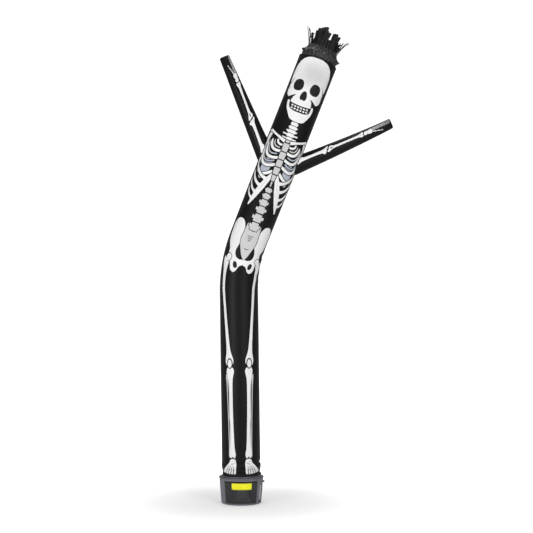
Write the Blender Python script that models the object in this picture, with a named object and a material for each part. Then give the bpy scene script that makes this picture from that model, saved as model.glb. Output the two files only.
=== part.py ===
"""An inflatable air dancer, tied over the outlet of the blower that it stands on.

The cloth is modelled as the thin sheets that it is sewn from: one long tube that
rises straight, bends and leans over, two sleeves for arms, a gathered cuff and two
fringes of ribbons round the head's vent. Every piece is made by thick_sheet, from the
points of its outer face and the matching points of its inner face.

Metres, +Z up. The origin is on the ground under the blower's middle, and the front
of the object faces -Y. An angle round the tube is 0 at the front and grows towards +X.
"""
import math

import bmesh
import bpy
from mathutils import Vector

# cloth and seams
CLOTH = 0.001
WEBBING = 0.0017
SEAM_GAP = 0.0003

# the main tube, from its hem on the blower to the crown of the head
TUBE_RADIUS = 0.232
HEAD_RADIUS = 0.240
WIDENS_FROM = 2.50
WIDENS_TO = 3.70
HEM_RADIUS = 0.224
HEM_HEIGHT = 0.339
LEG_LEAN = math.radians(-0.83)
LEG_LENGTH = 2.197
BEND_ANGLE = math.radians(22.2)
BEND_RADIUS = 1.742
TORSO_LENGTH = 2.320
CROWN_CORNER = 0.012
VENT_RADIUS = 0.120
TUBE_SIDES = 28

# where the folds of the foot and of the bend lie: height along the tube, middle
# angle, half height, half angle and how far the cloth goes out (or in, if negative)
FOLDS = [
    # height, angle, half height, half angle, offset
    (0.160, 15, 0.013, 38, -0.009),
    (0.157, 88, 0.014, 26, -0.012),
    (0.112, 70, 0.028, 45, 0.007),
    (0.085, -5, 0.016, 40, -0.007),
    (0.055, 60, 0.014, 50, -0.006),
    (0.120, -60, 0.030, 40, 0.004),
    (0.060, -95, 0.018, 45, -0.006),
    (0.130, 175, 0.020, 60, -0.008),
    (2.420, 90, 0.030, 45, -0.005),
    (2.560, 95, 0.035, 50, -0.006),
    (2.700, 85, 0.030, 45, -0.005),
]
HEM_END = 0.030
FULL_WIDTH_AT = 0.075
FOLDS_GROW_OVER = 0.020
FOOT_ROWS = [0, 0.015, 0.030, 0.045, 0.060, 0.075, 0.090, 0.105, 0.120, 0.135,
             0.147, 0.160, 0.173, 0.190, 0.220]
LEG_ROWS = [0.70, 1.20, 1.70, 2.05]
BEND_ROWS = 10
TORSO_ROWS = [0.30, 0.50, 0.70, 0.90, 1.10, 1.30, 1.80]
CORNER_ROWS = 3

# the arms: both axes cross the tube's axis at ARM_CROSSING below the head end
ARM_CROSSING = 1.505
ARM_REACH = 1.580
ARM_ROOT_RADIUS = 0.104
ARM_TIP_RADIUS = 0.0615
ARM_TIP_CORNER = 0.022
ARM_HOLE_RADIUS = 0.084
ARM_SIDES = 16
ARM_ROWS = [0, 0.12, 0.30, 0.50, 0.68, 0.82, 0.90, 0.955, 0.985, 0.991, 0.997, 1]
ARM_FLAT_FROM = 0.80
ARM_SEAM_HALF = 0.0018
ARM_SEAT = HEAD_RADIUS + 0.0010
ARMS = [
    # name, lean from upright in degrees, how far the hand lifts sideways
    ("arm_left", -22.3, 0.0),
    ("arm_right", 66.8, -0.022),
]

# the cuff: its profile over the head end, and the tied lumps that stick out of it
CUFF_PROFILE = [
    # height, radius, ruffle
    (0.0003, 0.2120, 0.0),
    (0.016, 0.216, 0.003),
    (0.034, 0.219, 0.005),
    (0.054, 0.222, 0.007),
    (0.068, 0.220, 0.008),
    (0.082, 0.213, 0.008),
    (0.108, 0.199, 0.006),
    (0.132, 0.191, 0.003),
    (0.150, 0.187, 0.0),
]
CUFF_LUMPS = [
    # angle, height, out, half angle, half height
    (-90, 0.081, 0.026, 15, 0.017),
    (90, 0.067, 0.030, 15, 0.019),
    (-20, 0.074, 0.009, 22, 0.022),
    (36, 0.060, 0.010, 20, 0.020),
    (150, 0.068, 0.012, 26, 0.022),
    (-150, 0.072, 0.011, 24, 0.022),
]
CUFF_CLOTH = 0.0015
CUFF_RUFFLES = 11
CUFF_SIDES = 44

# the hair: two strips cut into ribbons
OUTER_FRINGE = {"ribbons": 24, "radius": 0.1845, "foot": 0.130, "root": 0.150, "share": 0.86}
INNER_FRINGE = {"ribbons": 16, "radius": 0.140, "foot": 0.0003, "root": 0.040, "share": 0.74}
FRINGE_CLOTH = 0.0014
RIBBON_ROWS = 4
HAIR_TOPS = [
    # place across the head, height of the ribbons' ends over the head end
    (-0.190, 0.385),
    (-0.165, 0.290),
    (-0.136, 0.310),
    (-0.115, 0.345),
    (-0.092, 0.390),
    (-0.027, 0.400),
    (0.015, 0.330),
    (0.050, 0.235),
    (0.062, 0.290),
    (0.075, 0.365),
    (0.135, 0.373),
    (0.150, 0.320),
    (0.168, 0.270),
    (0.190, 0.365),
]

# the blower: outer and inner profile of its tub, from the middle of the floor up
TUB_PROFILE = [
    # outer radius, outer height, inner radius, inner height
    (0.060, 0.0000, 0.060, 0.0040),
    (0.130, 0.0000, 0.130, 0.0040),
    (0.208, 0.0000, 0.206, 0.0040),
    (0.2265, 0.0030, 0.2232, 0.0066),
    (0.2355, 0.0090, 0.2317, 0.0112),
]
TUB_FOOT = (0.2396, 0.0160)
TUB_TOP = (0.2645, 0.3047)
TUB_WALL = 0.004
LID_RADIUS = 0.269
LID_BOTTOM = 0.305
LID_TOP = 0.322
NECK_TOP = 0.366
NECK_WALL = 0.003
TUB_STEP = 10
GRILLES = [
    # name, first angle, last angle, lowest, highest, columns, rows of holes
    ("front_grille", -50, 50, 0.018, 0.292, 12, 8),
    ("side_grille", 60, 120, 0.018, 0.230, 7, 6),
]
GRILLE_BORDER = 0.22
GRILLE_HOLE = 0.60
GRILLE_WALL = 0.003
LABEL_ANGLES = (-25.0, 29.5)
LABEL_HEIGHTS = (0.190, 0.266)
LABEL_THICK = 0.0015
LABEL_STANDOFF = 0.0008
KNOB_ANGLE = 85
KNOB_HEIGHT = 0.262
KNOB_RADIUS = 0.013
KNOB_LENGTH = 0.018
MOTOR_PROFILE = [
    # radius, height
    (0.118, 0.0043),
    (0.118, 0.0220),
    (0.078, 0.0300),
    (0.078, 0.1600),
    (0.060, 0.1750),
    (0.026, 0.1800),
    (0.026, 0.2100),
]
STRAP_HEIGHTS = (0.004, 0.026)
LOCK_SIZE = (0.030, 0.014, 0.024)
LOCKS = [
    # name, angle round the tube
    ("strap_lock_left", -66),
    ("strap_lock_right", 88),
]

TORSO_LEAN = LEG_LEAN + BEND_ANGLE
BEND_LENGTH = BEND_RADIUS * BEND_ANGLE
TUBE_LENGTH = LEG_LENGTH + BEND_LENGTH + TORSO_LENGTH


def clear_scene():
    for item in list(bpy.data.objects):
        bpy.data.objects.remove(item, do_unlink=True)


def material(name, color, roughness, metallic=0.0):
    made = bpy.data.materials.new(name)
    made.use_nodes = True
    shader = made.node_tree.nodes["Principled BSDF"]
    shader.inputs["Base Color"].default_value = (*color, 1.0)
    shader.inputs["Roughness"].default_value = roughness
    shader.inputs["Metallic"].default_value = metallic
    return made


def cut_quads(faces, points):
    """Each quad as two triangles, cut along its shorter diagonal.

    Both faces of a lumpy sheet then have the same triangles, so its thin wall never crosses itself.
    """
    cut = []
    for face in faces:
        if len(face) != 4:
            cut.append(face)
            continue
        first, second, third, fourth = face
        rising = (points[third] - points[first]).length
        falling = (points[fourth] - points[second]).length
        if rising <= falling:
            cut += [[first, second, third], [first, third, fourth]]
        else:
            cut += [[first, second, fourth], [second, third, fourth]]
    return cut


def thick_sheet(name, outer, inner, faces, finish, smooth=True):
    """A closed solid from a sheet's two faces, joined by a wall round every open edge."""
    count = len(outer)
    uses = {}
    for face in faces:
        for start, end in zip(face, face[1:] + face[:1]):
            uses.setdefault(frozenset((start, end)), []).append((start, end))
    solid = [tuple(face) for face in faces]
    solid += [tuple(corner + count for corner in reversed(face)) for face in faces]
    for edges in uses.values():
        if len(edges) == 1:
            start, end = edges[0]
            solid.append((end, start, start + count, end + count))
    mesh = bpy.data.meshes.new(name)
    mesh.from_pydata([tuple(point) for point in outer + inner], [], solid)
    made = bmesh.new()
    made.from_mesh(mesh)
    bmesh.ops.recalc_face_normals(made, faces=made.faces)
    for face in made.faces:
        face.smooth = smooth
    made.to_mesh(mesh)
    made.free()
    mesh.materials.append(finish)
    item = bpy.data.objects.new(name, mesh)
    bpy.context.collection.objects.link(item)
    return item


def ring_faces(rows, columns):
    """Quads between neighbouring rings of points, counted ring by ring."""
    faces = []
    for row in range(rows - 1):
        for column in range(columns):
            beside = (column + 1) % columns
            low = row * columns
            high = low + columns
            faces.append([low + column, low + beside, high + beside, high + column])
    return faces


def round_point(angle, radius, height):
    return Vector((radius * math.sin(angle), -radius * math.cos(angle), height))


def ring_angles(sides):
    return [2 * math.pi * side / sides for side in range(sides)]


def tube_axis(distance):
    """Middle of the tube and its lean, at a distance along it from the hem."""
    lean = LEG_LEAN
    reach = min(distance, LEG_LENGTH)
    middle = Vector((reach * math.sin(lean), 0, reach * math.cos(lean)))
    if distance > LEG_LENGTH:
        turned = min(distance - LEG_LENGTH, BEND_LENGTH) / BEND_RADIUS
        lean = LEG_LEAN + turned
        middle.x += BEND_RADIUS * (math.cos(LEG_LEAN) - math.cos(lean))
        middle.z += BEND_RADIUS * (math.sin(lean) - math.sin(LEG_LEAN))
    rest = max(0, distance - LEG_LENGTH - BEND_LENGTH)
    middle += rest * Vector((math.sin(lean), 0, math.cos(lean)))
    return middle, lean


def head_end():
    middle, lean = tube_axis(TUBE_LENGTH)
    return middle + Vector((0, 0, HEM_HEIGHT)), lean


def fold_offset(distance, angle):
    """How far the main folds push the cloth out of its round shape, above the hem."""
    share = min(1, max(0, (distance - HEM_END) / FOLDS_GROW_OVER))
    total = 0
    for height, middle, half_height, half_angle, offset in FOLDS:
        turn = math.degrees(angle) - middle
        turn = (turn + 180) % 360 - 180
        along = (distance - height) / half_height
        total += offset * math.exp(-(along * along) - (turn / half_angle) ** 2)
    return total * share


def eased(value):
    share = min(1, max(0, value))
    return share * share * (3 - 2 * share)


def tube_radius(distance):
    """The tube's width: gathered at the hem, and a little wider from the chest up."""
    opening = eased((distance - HEM_END) / (FULL_WIDTH_AT - HEM_END))
    widening = eased((distance - WIDENS_FROM) / (WIDENS_TO - WIDENS_FROM))
    return HEM_RADIUS + opening * (TUBE_RADIUS - HEM_RADIUS) + widening * (HEAD_RADIUS - TUBE_RADIUS)


def tube_rows():
    """Rows of the tube, as distance along it, radius and share of the folds."""
    rows = [(distance, tube_radius(distance), 1) for distance in FOOT_ROWS + LEG_ROWS]
    places = [LEG_LENGTH + BEND_LENGTH * step / BEND_ROWS for step in range(BEND_ROWS + 1)]
    places += [LEG_LENGTH + BEND_LENGTH + distance for distance in TORSO_ROWS]
    rows += [(distance, tube_radius(distance), 1) for distance in places]
    for step in range(CORNER_ROWS + 1):
        turned = math.pi / 2 * step / CORNER_ROWS
        height = TUBE_LENGTH - CROWN_CORNER * (1 - math.sin(turned))
        rows.append((height, HEAD_RADIUS - CROWN_CORNER * (1 - math.cos(turned)), 0))
    rows.append((TUBE_LENGTH, (HEAD_RADIUS + VENT_RADIUS) / 2, 0))
    rows.append((TUBE_LENGTH, VENT_RADIUS, 0))
    return rows


def tube_points(inset):
    points = []
    corner_start = TUBE_LENGTH - CROWN_CORNER
    for distance, radius, folds in tube_rows():
        on_corner = min(1, max(0, distance - corner_start) / CROWN_CORNER)
        drawn_in = inset * math.sqrt(1 - on_corner * on_corner)
        middle, lean = tube_axis(distance - inset * on_corner)
        side = Vector((math.cos(lean), 0, -math.sin(lean)))
        for angle in ring_angles(TUBE_SIDES):
            out = radius - drawn_in + folds * fold_offset(distance, angle)
            front = Vector((0, -out * math.cos(angle), 0))
            points.append(middle + side * out * math.sin(angle) + front)
    return points


def arm_start(lean):
    """Where an arm's axis leaves the tube's axis, from the tube's own origin."""
    middle, torso_lean = tube_axis(TUBE_LENGTH - ARM_CROSSING)
    return middle + Vector((0, 0, HEM_HEIGHT)), torso_lean - lean


def arm_hole_cutter(lean_degrees):
    lean = math.radians(lean_degrees)
    place = arm_start(lean)[0]
    rows = (0.13, 0.46)
    points = []
    for height in rows:
        points += [round_point(angle, ARM_HOLE_RADIUS, height) for angle in ring_angles(20)]
    faces = ring_faces(2, 20)
    faces.append(list(range(19, -1, -1)))
    faces.append(list(range(20, 40)))
    mesh = bpy.data.meshes.new("arm_hole")
    mesh.from_pydata([tuple(point) for point in points], [], faces)
    cutter = bpy.data.objects.new("arm_hole", mesh)
    bpy.context.collection.objects.link(cutter)
    cutter.location = place
    cutter.rotation_euler = (0, lean, 0)
    cutter.hide_render = True
    cutter.display_type = "WIRE"
    return cutter


def make_tube(finish):
    rows = len(tube_rows())
    faces = ring_faces(rows, TUBE_SIDES)
    tube = thick_sheet("tube_body", tube_points(0), tube_points(CLOTH), faces, finish)
    tube.location = (0, 0, HEM_HEIGHT)
    for name, lean_degrees, lift in ARMS:
        cut = tube.modifiers.new(name + "_hole", "BOOLEAN")
        cut.operation = "DIFFERENCE"
        cut.solver = "EXACT"
        cut.object = arm_hole_cutter(lean_degrees)
    return tube


def arm_radius(share):
    """Half width of a sleeve: it tapers, and the corners of its closed end are round."""
    into_corner = max(0, ARM_TIP_CORNER - (1 - share) * ARM_REACH)
    cut_off = ARM_TIP_CORNER - math.sqrt(ARM_TIP_CORNER ** 2 - into_corner ** 2)
    return ARM_ROOT_RADIUS + share * (ARM_TIP_RADIUS - ARM_ROOT_RADIUS) - cut_off


def arm_points(cross, lift, inset):
    """Rings of a sleeve: a saddle-shaped root on the tube, round, then flat at the tip."""
    points = []
    for share in ARM_ROWS:
        radius = arm_radius(share)
        flat = min(1, max(0, (share - ARM_FLAT_FROM) / (1 - ARM_FLAT_FROM)))
        depth = radius + (ARM_SEAM_HALF - radius) * flat ** 2.2
        for angle in ring_angles(ARM_SIDES):
            across = (radius - inset) * math.sin(angle)
            forward = -max(depth - inset, ARM_SEAM_HALF / 3) * math.cos(angle)
            seat = math.sqrt(ARM_SEAT ** 2 - forward * forward)
            seat = math.copysign(seat, cross)
            root = (across * math.cos(cross) + seat) / math.sin(cross)
            tip = ARM_REACH - (6 * inset if share == 1 else 0)
            height = root + (tip - root) * share
            bent = lift * share ** 3
            points.append(Vector((across + bent, forward, height)))
    return points


def make_arm(name, lean_degrees, lift, finish):
    lean = math.radians(lean_degrees)
    place, cross = arm_start(lean)
    faces = ring_faces(len(ARM_ROWS), ARM_SIDES)
    last = (len(ARM_ROWS) - 1) * ARM_SIDES
    faces.append(list(range(last, last + ARM_SIDES)))
    arm = thick_sheet(name, arm_points(cross, lift, 0), arm_points(cross, lift, CLOTH), faces, finish)
    arm.location = place
    arm.rotation_euler = (0, lean, 0)
    return arm


def on_head(item):
    """Sets a piece that is modelled upright on the leaning head end."""
    place, lean = head_end()
    item.location = place
    item.rotation_euler = (0, lean, 0)
    return item


def ruffle(angle):
    """The uneven wave of the gathered cuff, between -1 and 1."""
    wander = 0.5 * math.sin(2 * angle + 0.6) + 0.35 * math.sin(3 * angle)
    return math.cos(CUFF_RUFFLES * angle + wander)


def cuff_lumps(angle, height):
    """How far the tied lumps push the cuff out."""
    total = 0
    for place, middle, out, half_angle, half_height in CUFF_LUMPS:
        turn = (math.degrees(angle) - place + 180) % 360 - 180
        rise = (height - middle) / half_height
        total += out * math.exp(-(turn / half_angle) ** 2 - rise * rise)
    return total


def make_cuff(finish):
    outer = []
    inner = []
    for height, radius, depth in CUFF_PROFILE:
        for angle in ring_angles(CUFF_SIDES):
            out = radius + depth * ruffle(angle) + cuff_lumps(angle, height)
            outer.append(round_point(angle, out, height))
            inner.append(round_point(angle, out - CUFF_CLOTH, height))
    faces = cut_quads(ring_faces(len(CUFF_PROFILE), CUFF_SIDES), outer)
    return on_head(thick_sheet("head_cuff", outer, inner, faces, finish))


def between(table, value):
    """A value read from a table of pairs, in a straight line between its rows."""
    for (low, first), (high, last) in zip(table, table[1:]):
        if value <= high:
            return first + (last - first) * max(0, value - low) / (high - low)
    return table[-1][1]


def hair_length(angle, number, strip):
    """A ribbon's length: two tall tufts with a parting between them, as seen from the front."""
    uneven = 0.94 + 0.06 * math.cos(2.4 * number)
    return between(HAIR_TOPS, strip["radius"] * math.sin(angle)) * uneven - strip["root"]


def outer_hair(angle, number):
    """Length, lean and width of an outer ribbon: thin ones lean out at both sides."""
    aside = math.sin(angle) ** 8
    lean = -1 + 4 * (number % 2) + 20 * aside
    return hair_length(angle, number, OUTER_FRINGE), math.radians(lean), 1 - 0.6 * aside


def inner_hair(angle, number):
    """Length, lean and width of an inner ribbon: all lean in, every second one further."""
    lean = -1 - 4 * (number % 2)
    return hair_length(angle, number + 5, INNER_FRINGE), math.radians(lean), 1


def make_fringe(name, strip, hair, finish):
    """A ring of backing whose upper edge is cut into ribbons that stand apart."""
    count = strip["ribbons"]
    sector = 2 * math.pi / count
    half = sector * strip["share"] / 2
    outer = []
    inner = []
    faces = []

    def add(angle, radius, height):
        outer.append(round_point(angle, radius, height))
        inner.append(round_point(angle, radius - FRINGE_CLOTH, height))
        return len(outer) - 1

    edges = []
    for number in range(count):
        for turn in (number * sector - half, number * sector + half):
            low = add(turn, strip["radius"], strip["foot"])
            high = add(turn, strip["radius"], strip["root"])
            edges.append((low, high))
    for place, (low, high) in enumerate(edges):
        low_beside, high_beside = edges[(place + 1) % len(edges)]
        faces.append([low, low_beside, high_beside, high])
    for number in range(count):
        angle = number * sector
        length, lean, slim = hair(angle, number)
        below = (edges[2 * number][1], edges[2 * number + 1][1])
        width = strip["radius"] * math.sin(half)
        for row in range(1, RIBBON_ROWS + 1):
            share = row / RIBBON_ROWS
            curl = lean * (0.6 + 0.4 * share)
            radius = strip["radius"] * math.cos(half) + length * share * math.sin(curl)
            height = strip["root"] + length * share * math.cos(curl)
            above = []
            for side in (-1, 1):
                slant = side * width * (1 + (slim - 1) * min(1, 2 * share))
                turned = Vector((slant * math.cos(angle), slant * math.sin(angle), 0))
                outer.append(round_point(angle, radius, height) + turned)
                inner.append(round_point(angle, radius - FRINGE_CLOTH, height) + turned)
                above.append(len(outer) - 1)
            faces.append([below[0], below[1], above[1], above[0]])
            below = tuple(above)
    return on_head(thick_sheet(name, outer, inner, faces, finish, smooth=False))


def hem_ring(name, heights, inner_radius, thickness, finish):
    outer = []
    inner = []
    for distance in heights:
        middle, lean = tube_axis(distance)
        for angle in ring_angles(TUBE_SIDES):
            outer.append(middle + round_point(angle, inner_radius + thickness, 0))
            inner.append(middle + round_point(angle, inner_radius, 0))
    band = thick_sheet(name, outer, inner, ring_faces(len(heights), TUBE_SIDES), finish)
    band.location = (0, 0, HEM_HEIGHT)
    return band


def make_lock(name, angle_degrees, finish):
    angle = math.radians(angle_degrees)
    width, depth, height = LOCK_SIZE
    strap_outside = HEM_RADIUS + SEAM_GAP + WEBBING
    mesh = bpy.data.meshes.new(name)
    made = bmesh.new()
    bmesh.ops.create_cube(made, size=1)
    bmesh.ops.scale(made, vec=(width, depth, height), verts=made.verts)
    bmesh.ops.bevel(made, geom=made.edges, offset=0.003, segments=1, affect="EDGES")
    made.to_mesh(mesh)
    made.free()
    mesh.materials.append(finish)
    lock = bpy.data.objects.new(name, mesh)
    bpy.context.collection.objects.link(lock)
    middle = HEM_HEIGHT + sum(STRAP_HEIGHTS) / 2
    lock.location = round_point(angle, strap_outside + SEAM_GAP + depth / 2, middle)
    lock.rotation_euler = (0, 0, angle)
    return lock


def wall_radius(height):
    """Outer radius of the blower's tapered wall at a height."""
    share = (height - TUB_FOOT[1]) / (TUB_TOP[1] - TUB_FOOT[1])
    return TUB_FOOT[0] + share * (TUB_TOP[0] - TUB_FOOT[0])


def wall_point(angle, height, depth):
    return round_point(angle, wall_radius(height) - depth, height)


def tub_heights():
    """Rows of the wall: its foot, the edges of both windows and its top."""
    rows = {TUB_FOOT[1], TUB_TOP[1]}
    for name, first, last, low, high, columns, holes in GRILLES:
        rows.update((low, high))
    return sorted(rows)


def in_window(angle, height):
    for name, first, last, low, high, columns, holes in GRILLES:
        if first < angle < last and low < height < high:
            return True
    return False


def make_housing(finish):
    angles = [math.radians(turn) for turn in range(-180, 180, TUB_STEP)]
    heights = tub_heights()
    outer = [Vector((0, 0, 0))]
    inner = [Vector((0, 0, TUB_PROFILE[0][3]))]
    for radius, height, inner_radius, inner_height in TUB_PROFILE:
        outer += [round_point(angle, radius, height) for angle in angles]
        inner += [round_point(angle, inner_radius, inner_height) for angle in angles]
    for height in heights:
        outer += [wall_point(angle, height, 0) for angle in angles]
        inner += [wall_point(angle, height, TUB_WALL) for angle in angles]
    sides = len(angles)
    faces = []
    for column in range(sides):
        faces.append([0, 1 + (column + 1) % sides, 1 + column])
    floor_rows = len(TUB_PROFILE)
    for number, quad in enumerate(ring_faces(floor_rows + len(heights), sides)):
        row = number // sides - floor_rows
        turn = -180 + TUB_STEP * (number % sides + 0.5)
        if row >= 0 and in_window(turn, (heights[row] + heights[row + 1]) / 2):
            continue
        faces.append([corner + 1 for corner in quad])
    return thick_sheet("blower_housing", outer, inner, faces, finish)


def lattice(columns, rows):
    """Corners and faces of a flat lattice of diamond holes inside a plain border."""
    corners = []
    index = {}
    faces = []

    def corner(x, y):
        key = (round(x, 4), round(y, 4))
        if key not in index:
            index[key] = len(corners)
            corners.append(key)
        return index[key]

    def cell(x, y):
        reach = 0.5
        ways = [(0, -reach), (reach, 0), (0, reach), (-reach, 0)]
        for (ax, ay), (bx, by) in zip(ways, ways[1:] + ways[:1]):
            first = corner(x + ax, y + ay)
            second = corner(x + bx, y + by)
            third = corner(x + bx * GRILLE_HOLE, y + by * GRILLE_HOLE)
            fourth = corner(x + ax * GRILLE_HOLE, y + ay * GRILLE_HOLE)
            faces.append([first, second, third, fourth])

    for column in range(columns):
        for row in range(rows):
            cell(column + 0.5, row + 0.5)
            if column and row:
                cell(column, row)
    for column in range(1, columns):
        faces.append([corner(column - 0.5, 0), corner(column + 0.5, 0), corner(column, 0.5)])
        top = [corner(column + 0.5, rows), corner(column - 0.5, rows), corner(column, rows - 0.5)]
        faces.append(top)
    for row in range(1, rows):
        faces.append([corner(0, row + 0.5), corner(0, row - 0.5), corner(0.5, row)])
        far = [corner(columns, row - 0.5), corner(columns, row + 0.5), corner(columns - 0.5, row)]
        faces.append(far)
    faces.append([corner(0, 0), corner(0.5, 0), corner(0, 0.5)])
    faces.append([corner(columns, 0), corner(columns, 0.5), corner(columns - 0.5, 0)])
    faces.append([corner(columns, rows), corner(columns - 0.5, rows), corner(columns, rows - 0.5)])
    faces.append([corner(0, rows), corner(0, rows - 0.5), corner(0.5, rows)])
    across = [0] + [column + 0.5 for column in range(columns)] + [columns]
    upward = [0] + [row + 0.5 for row in range(rows)] + [rows]
    rim = [(x, 0) for x in across] + [(columns, y) for y in upward[1:]]
    rim += [(x, rows) for x in reversed(across[:-1])] + [(0, y) for y in reversed(upward[1:-1])]

    def pushed(x, y):
        ends_x = (x == columns) - (x == 0)
        ends_y = (y == rows) - (y == 0)
        return corner(x + ends_x * GRILLE_BORDER, y + ends_y * GRILLE_BORDER)

    for (ax, ay), (bx, by) in zip(rim, rim[1:] + rim[:1]):
        faces.append([pushed(ax, ay), pushed(bx, by), corner(bx, by), corner(ax, ay)])
    return corners, faces


def make_grille(name, first, last, low, high, columns, rows, finish):
    """A lattice bent to the wall's cone, a seam gap inside its window."""
    corners, faces = lattice(columns, rows)
    edge = SEAM_GAP / wall_radius(low)
    start = math.radians(first) + edge
    end = math.radians(last) - edge
    outer = []
    inner = []
    for x, y in corners:
        angle = start + (end - start) * (x + GRILLE_BORDER) / (columns + 2 * GRILLE_BORDER)
        rise = (y + GRILLE_BORDER) / (rows + 2 * GRILLE_BORDER)
        height = low + SEAM_GAP + (high - low - 2 * SEAM_GAP) * rise
        outer.append(wall_point(angle, height, 0.0005))
        inner.append(wall_point(angle, height, 0.0005 + GRILLE_WALL))
    return thick_sheet(name, outer, inner, faces, finish, smooth=False)


def make_label(finish):
    outer = []
    inner = []
    columns = 9
    for height in LABEL_HEIGHTS:
        for column in range(columns):
            share = column / (columns - 1)
            turn = LABEL_ANGLES[0] + share * (LABEL_ANGLES[1] - LABEL_ANGLES[0])
            angle = math.radians(turn)
            outer.append(wall_point(angle, height, -LABEL_STANDOFF - LABEL_THICK))
            inner.append(wall_point(angle, height, -LABEL_STANDOFF))
    faces = []
    for column in range(columns - 1):
        faces.append([column, column + 1, columns + column + 1, columns + column])
    return thick_sheet("label_plate", outer, inner, faces, finish, smooth=False)


def turned_solid(name, profile, sides, finish):
    """A solid of revolution, flat at both ends."""
    points = []
    for radius, height in profile:
        points += [round_point(angle, radius, height) for angle in ring_angles(sides)]
    faces = ring_faces(len(profile), sides)
    faces.append(list(range(sides - 1, -1, -1)))
    faces.append([len(points) - sides + side for side in range(sides)])
    mesh = bpy.data.meshes.new(name)
    mesh.from_pydata([tuple(point) for point in points], [], faces)
    mesh.materials.append(finish)
    item = bpy.data.objects.new(name, mesh)
    bpy.context.collection.objects.link(item)
    return item


def make_lid(finish):
    """The ring on the tub's rim, with the outlet neck that the cloth is tied over."""
    neck = HEM_RADIUS - CLOTH - SEAM_GAP - 0.0008
    section = [
        (LID_RADIUS - 0.002, LID_BOTTOM),
        (LID_RADIUS, LID_BOTTOM + 0.003),
        (LID_RADIUS, LID_TOP - 0.005),
        (LID_RADIUS - 0.005, LID_TOP),
        (neck + 0.008, LID_TOP),
        (neck, LID_TOP + 0.004),
        (neck, NECK_TOP),
        (neck - NECK_WALL, NECK_TOP),
        (neck - NECK_WALL, LID_BOTTOM),
    ]
    points = []
    for radius, height in section:
        points += [round_point(angle, radius, height) for angle in ring_angles(TUBE_SIDES)]
    faces = ring_faces(len(section), TUBE_SIDES)
    last = len(points) - TUBE_SIDES
    for side in range(TUBE_SIDES):
        beside = (side + 1) % TUBE_SIDES
        faces.append([last + side, last + beside, beside, side])
    mesh = bpy.data.meshes.new("blower_lid")
    mesh.from_pydata([tuple(point) for point in points], [], faces)
    mesh.materials.append(finish)
    lid = bpy.data.objects.new("blower_lid", mesh)
    bpy.context.collection.objects.link(lid)
    return lid


def make_knob(finish):
    angle = math.radians(KNOB_ANGLE)
    profile = [
        (KNOB_RADIUS, 0),
        (KNOB_RADIUS, KNOB_LENGTH - 0.003),
        (KNOB_RADIUS - 0.003, KNOB_LENGTH),
    ]
    knob = turned_solid("switch_knob", profile, 12, finish)
    facet = math.cos(math.radians(TUB_STEP / 2))
    seat = wall_radius(KNOB_HEIGHT + KNOB_RADIUS) * facet + SEAM_GAP
    knob.location = round_point(angle, seat, KNOB_HEIGHT)
    knob.rotation_euler = (math.radians(90), 0, angle)
    return knob


def build():
    clear_scene()
    cloth = material("black_cloth", (0.012, 0.012, 0.013), 0.55)
    cuff_cloth = material("grey_cuff_cloth", (0.05, 0.05, 0.055), 0.6)
    hair_cloth = material("ribbon_cloth", (0.02, 0.02, 0.022), 0.6)
    webbing = material("strap_webbing", (0.015, 0.015, 0.016), 0.7)
    lock_plastic = material("lock_plastic", (0.01, 0.01, 0.01), 0.4)
    shell = material("housing_plastic", (0.12, 0.12, 0.135), 0.45)
    lid_plastic = material("lid_plastic", (0.09, 0.09, 0.10), 0.45)
    grille_plastic = material("grille_plastic", (0.10, 0.10, 0.115), 0.45)
    yellow = material("label_yellow", (0.95, 0.85, 0.02), 0.4)
    knob_plastic = material("knob_plastic", (0.01, 0.01, 0.01), 0.4)
    motor_metal = material("motor_metal", (0.25, 0.25, 0.26), 0.4, 0.9)
    make_tube(cloth)
    for name, lean_degrees, lift in ARMS:
        make_arm(name, lean_degrees, lift, cloth)
    make_cuff(cuff_cloth)
    make_fringe("hair_fringe_outer", OUTER_FRINGE, outer_hair, hair_cloth)
    make_fringe("hair_fringe_inner", INNER_FRINGE, inner_hair, hair_cloth)
    hem_ring("base_strap", STRAP_HEIGHTS, HEM_RADIUS + SEAM_GAP, WEBBING, webbing)
    for name, angle_degrees in LOCKS:
        make_lock(name, angle_degrees, lock_plastic)
    make_housing(shell)
    make_lid(lid_plastic)
    for name, first, last, low, high, columns, rows in GRILLES:
        make_grille(name, first, last, low, high, columns, rows, grille_plastic)
    make_label(yellow)
    make_knob(knob_plastic)
    turned_solid("blower_motor", MOTOR_PROFILE, 20, motor_metal)


build()
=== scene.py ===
# %% [markdown]
# # A cloth air dancer on its blower
# The real thing is a long nylon tube, printed on its front, that a blower keeps full of
# air. This lesson dresses the imported model of it: the solids stay the frame, and each
# visible piece is made again here with its folds, its print, its seams and its finish.
# The first cell loads the frame.

# %% Load the frame
import math

import bmesh
import bpy
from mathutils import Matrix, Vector, noise
from mathutils.geometry import delaunay_2d_cdt


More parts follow.
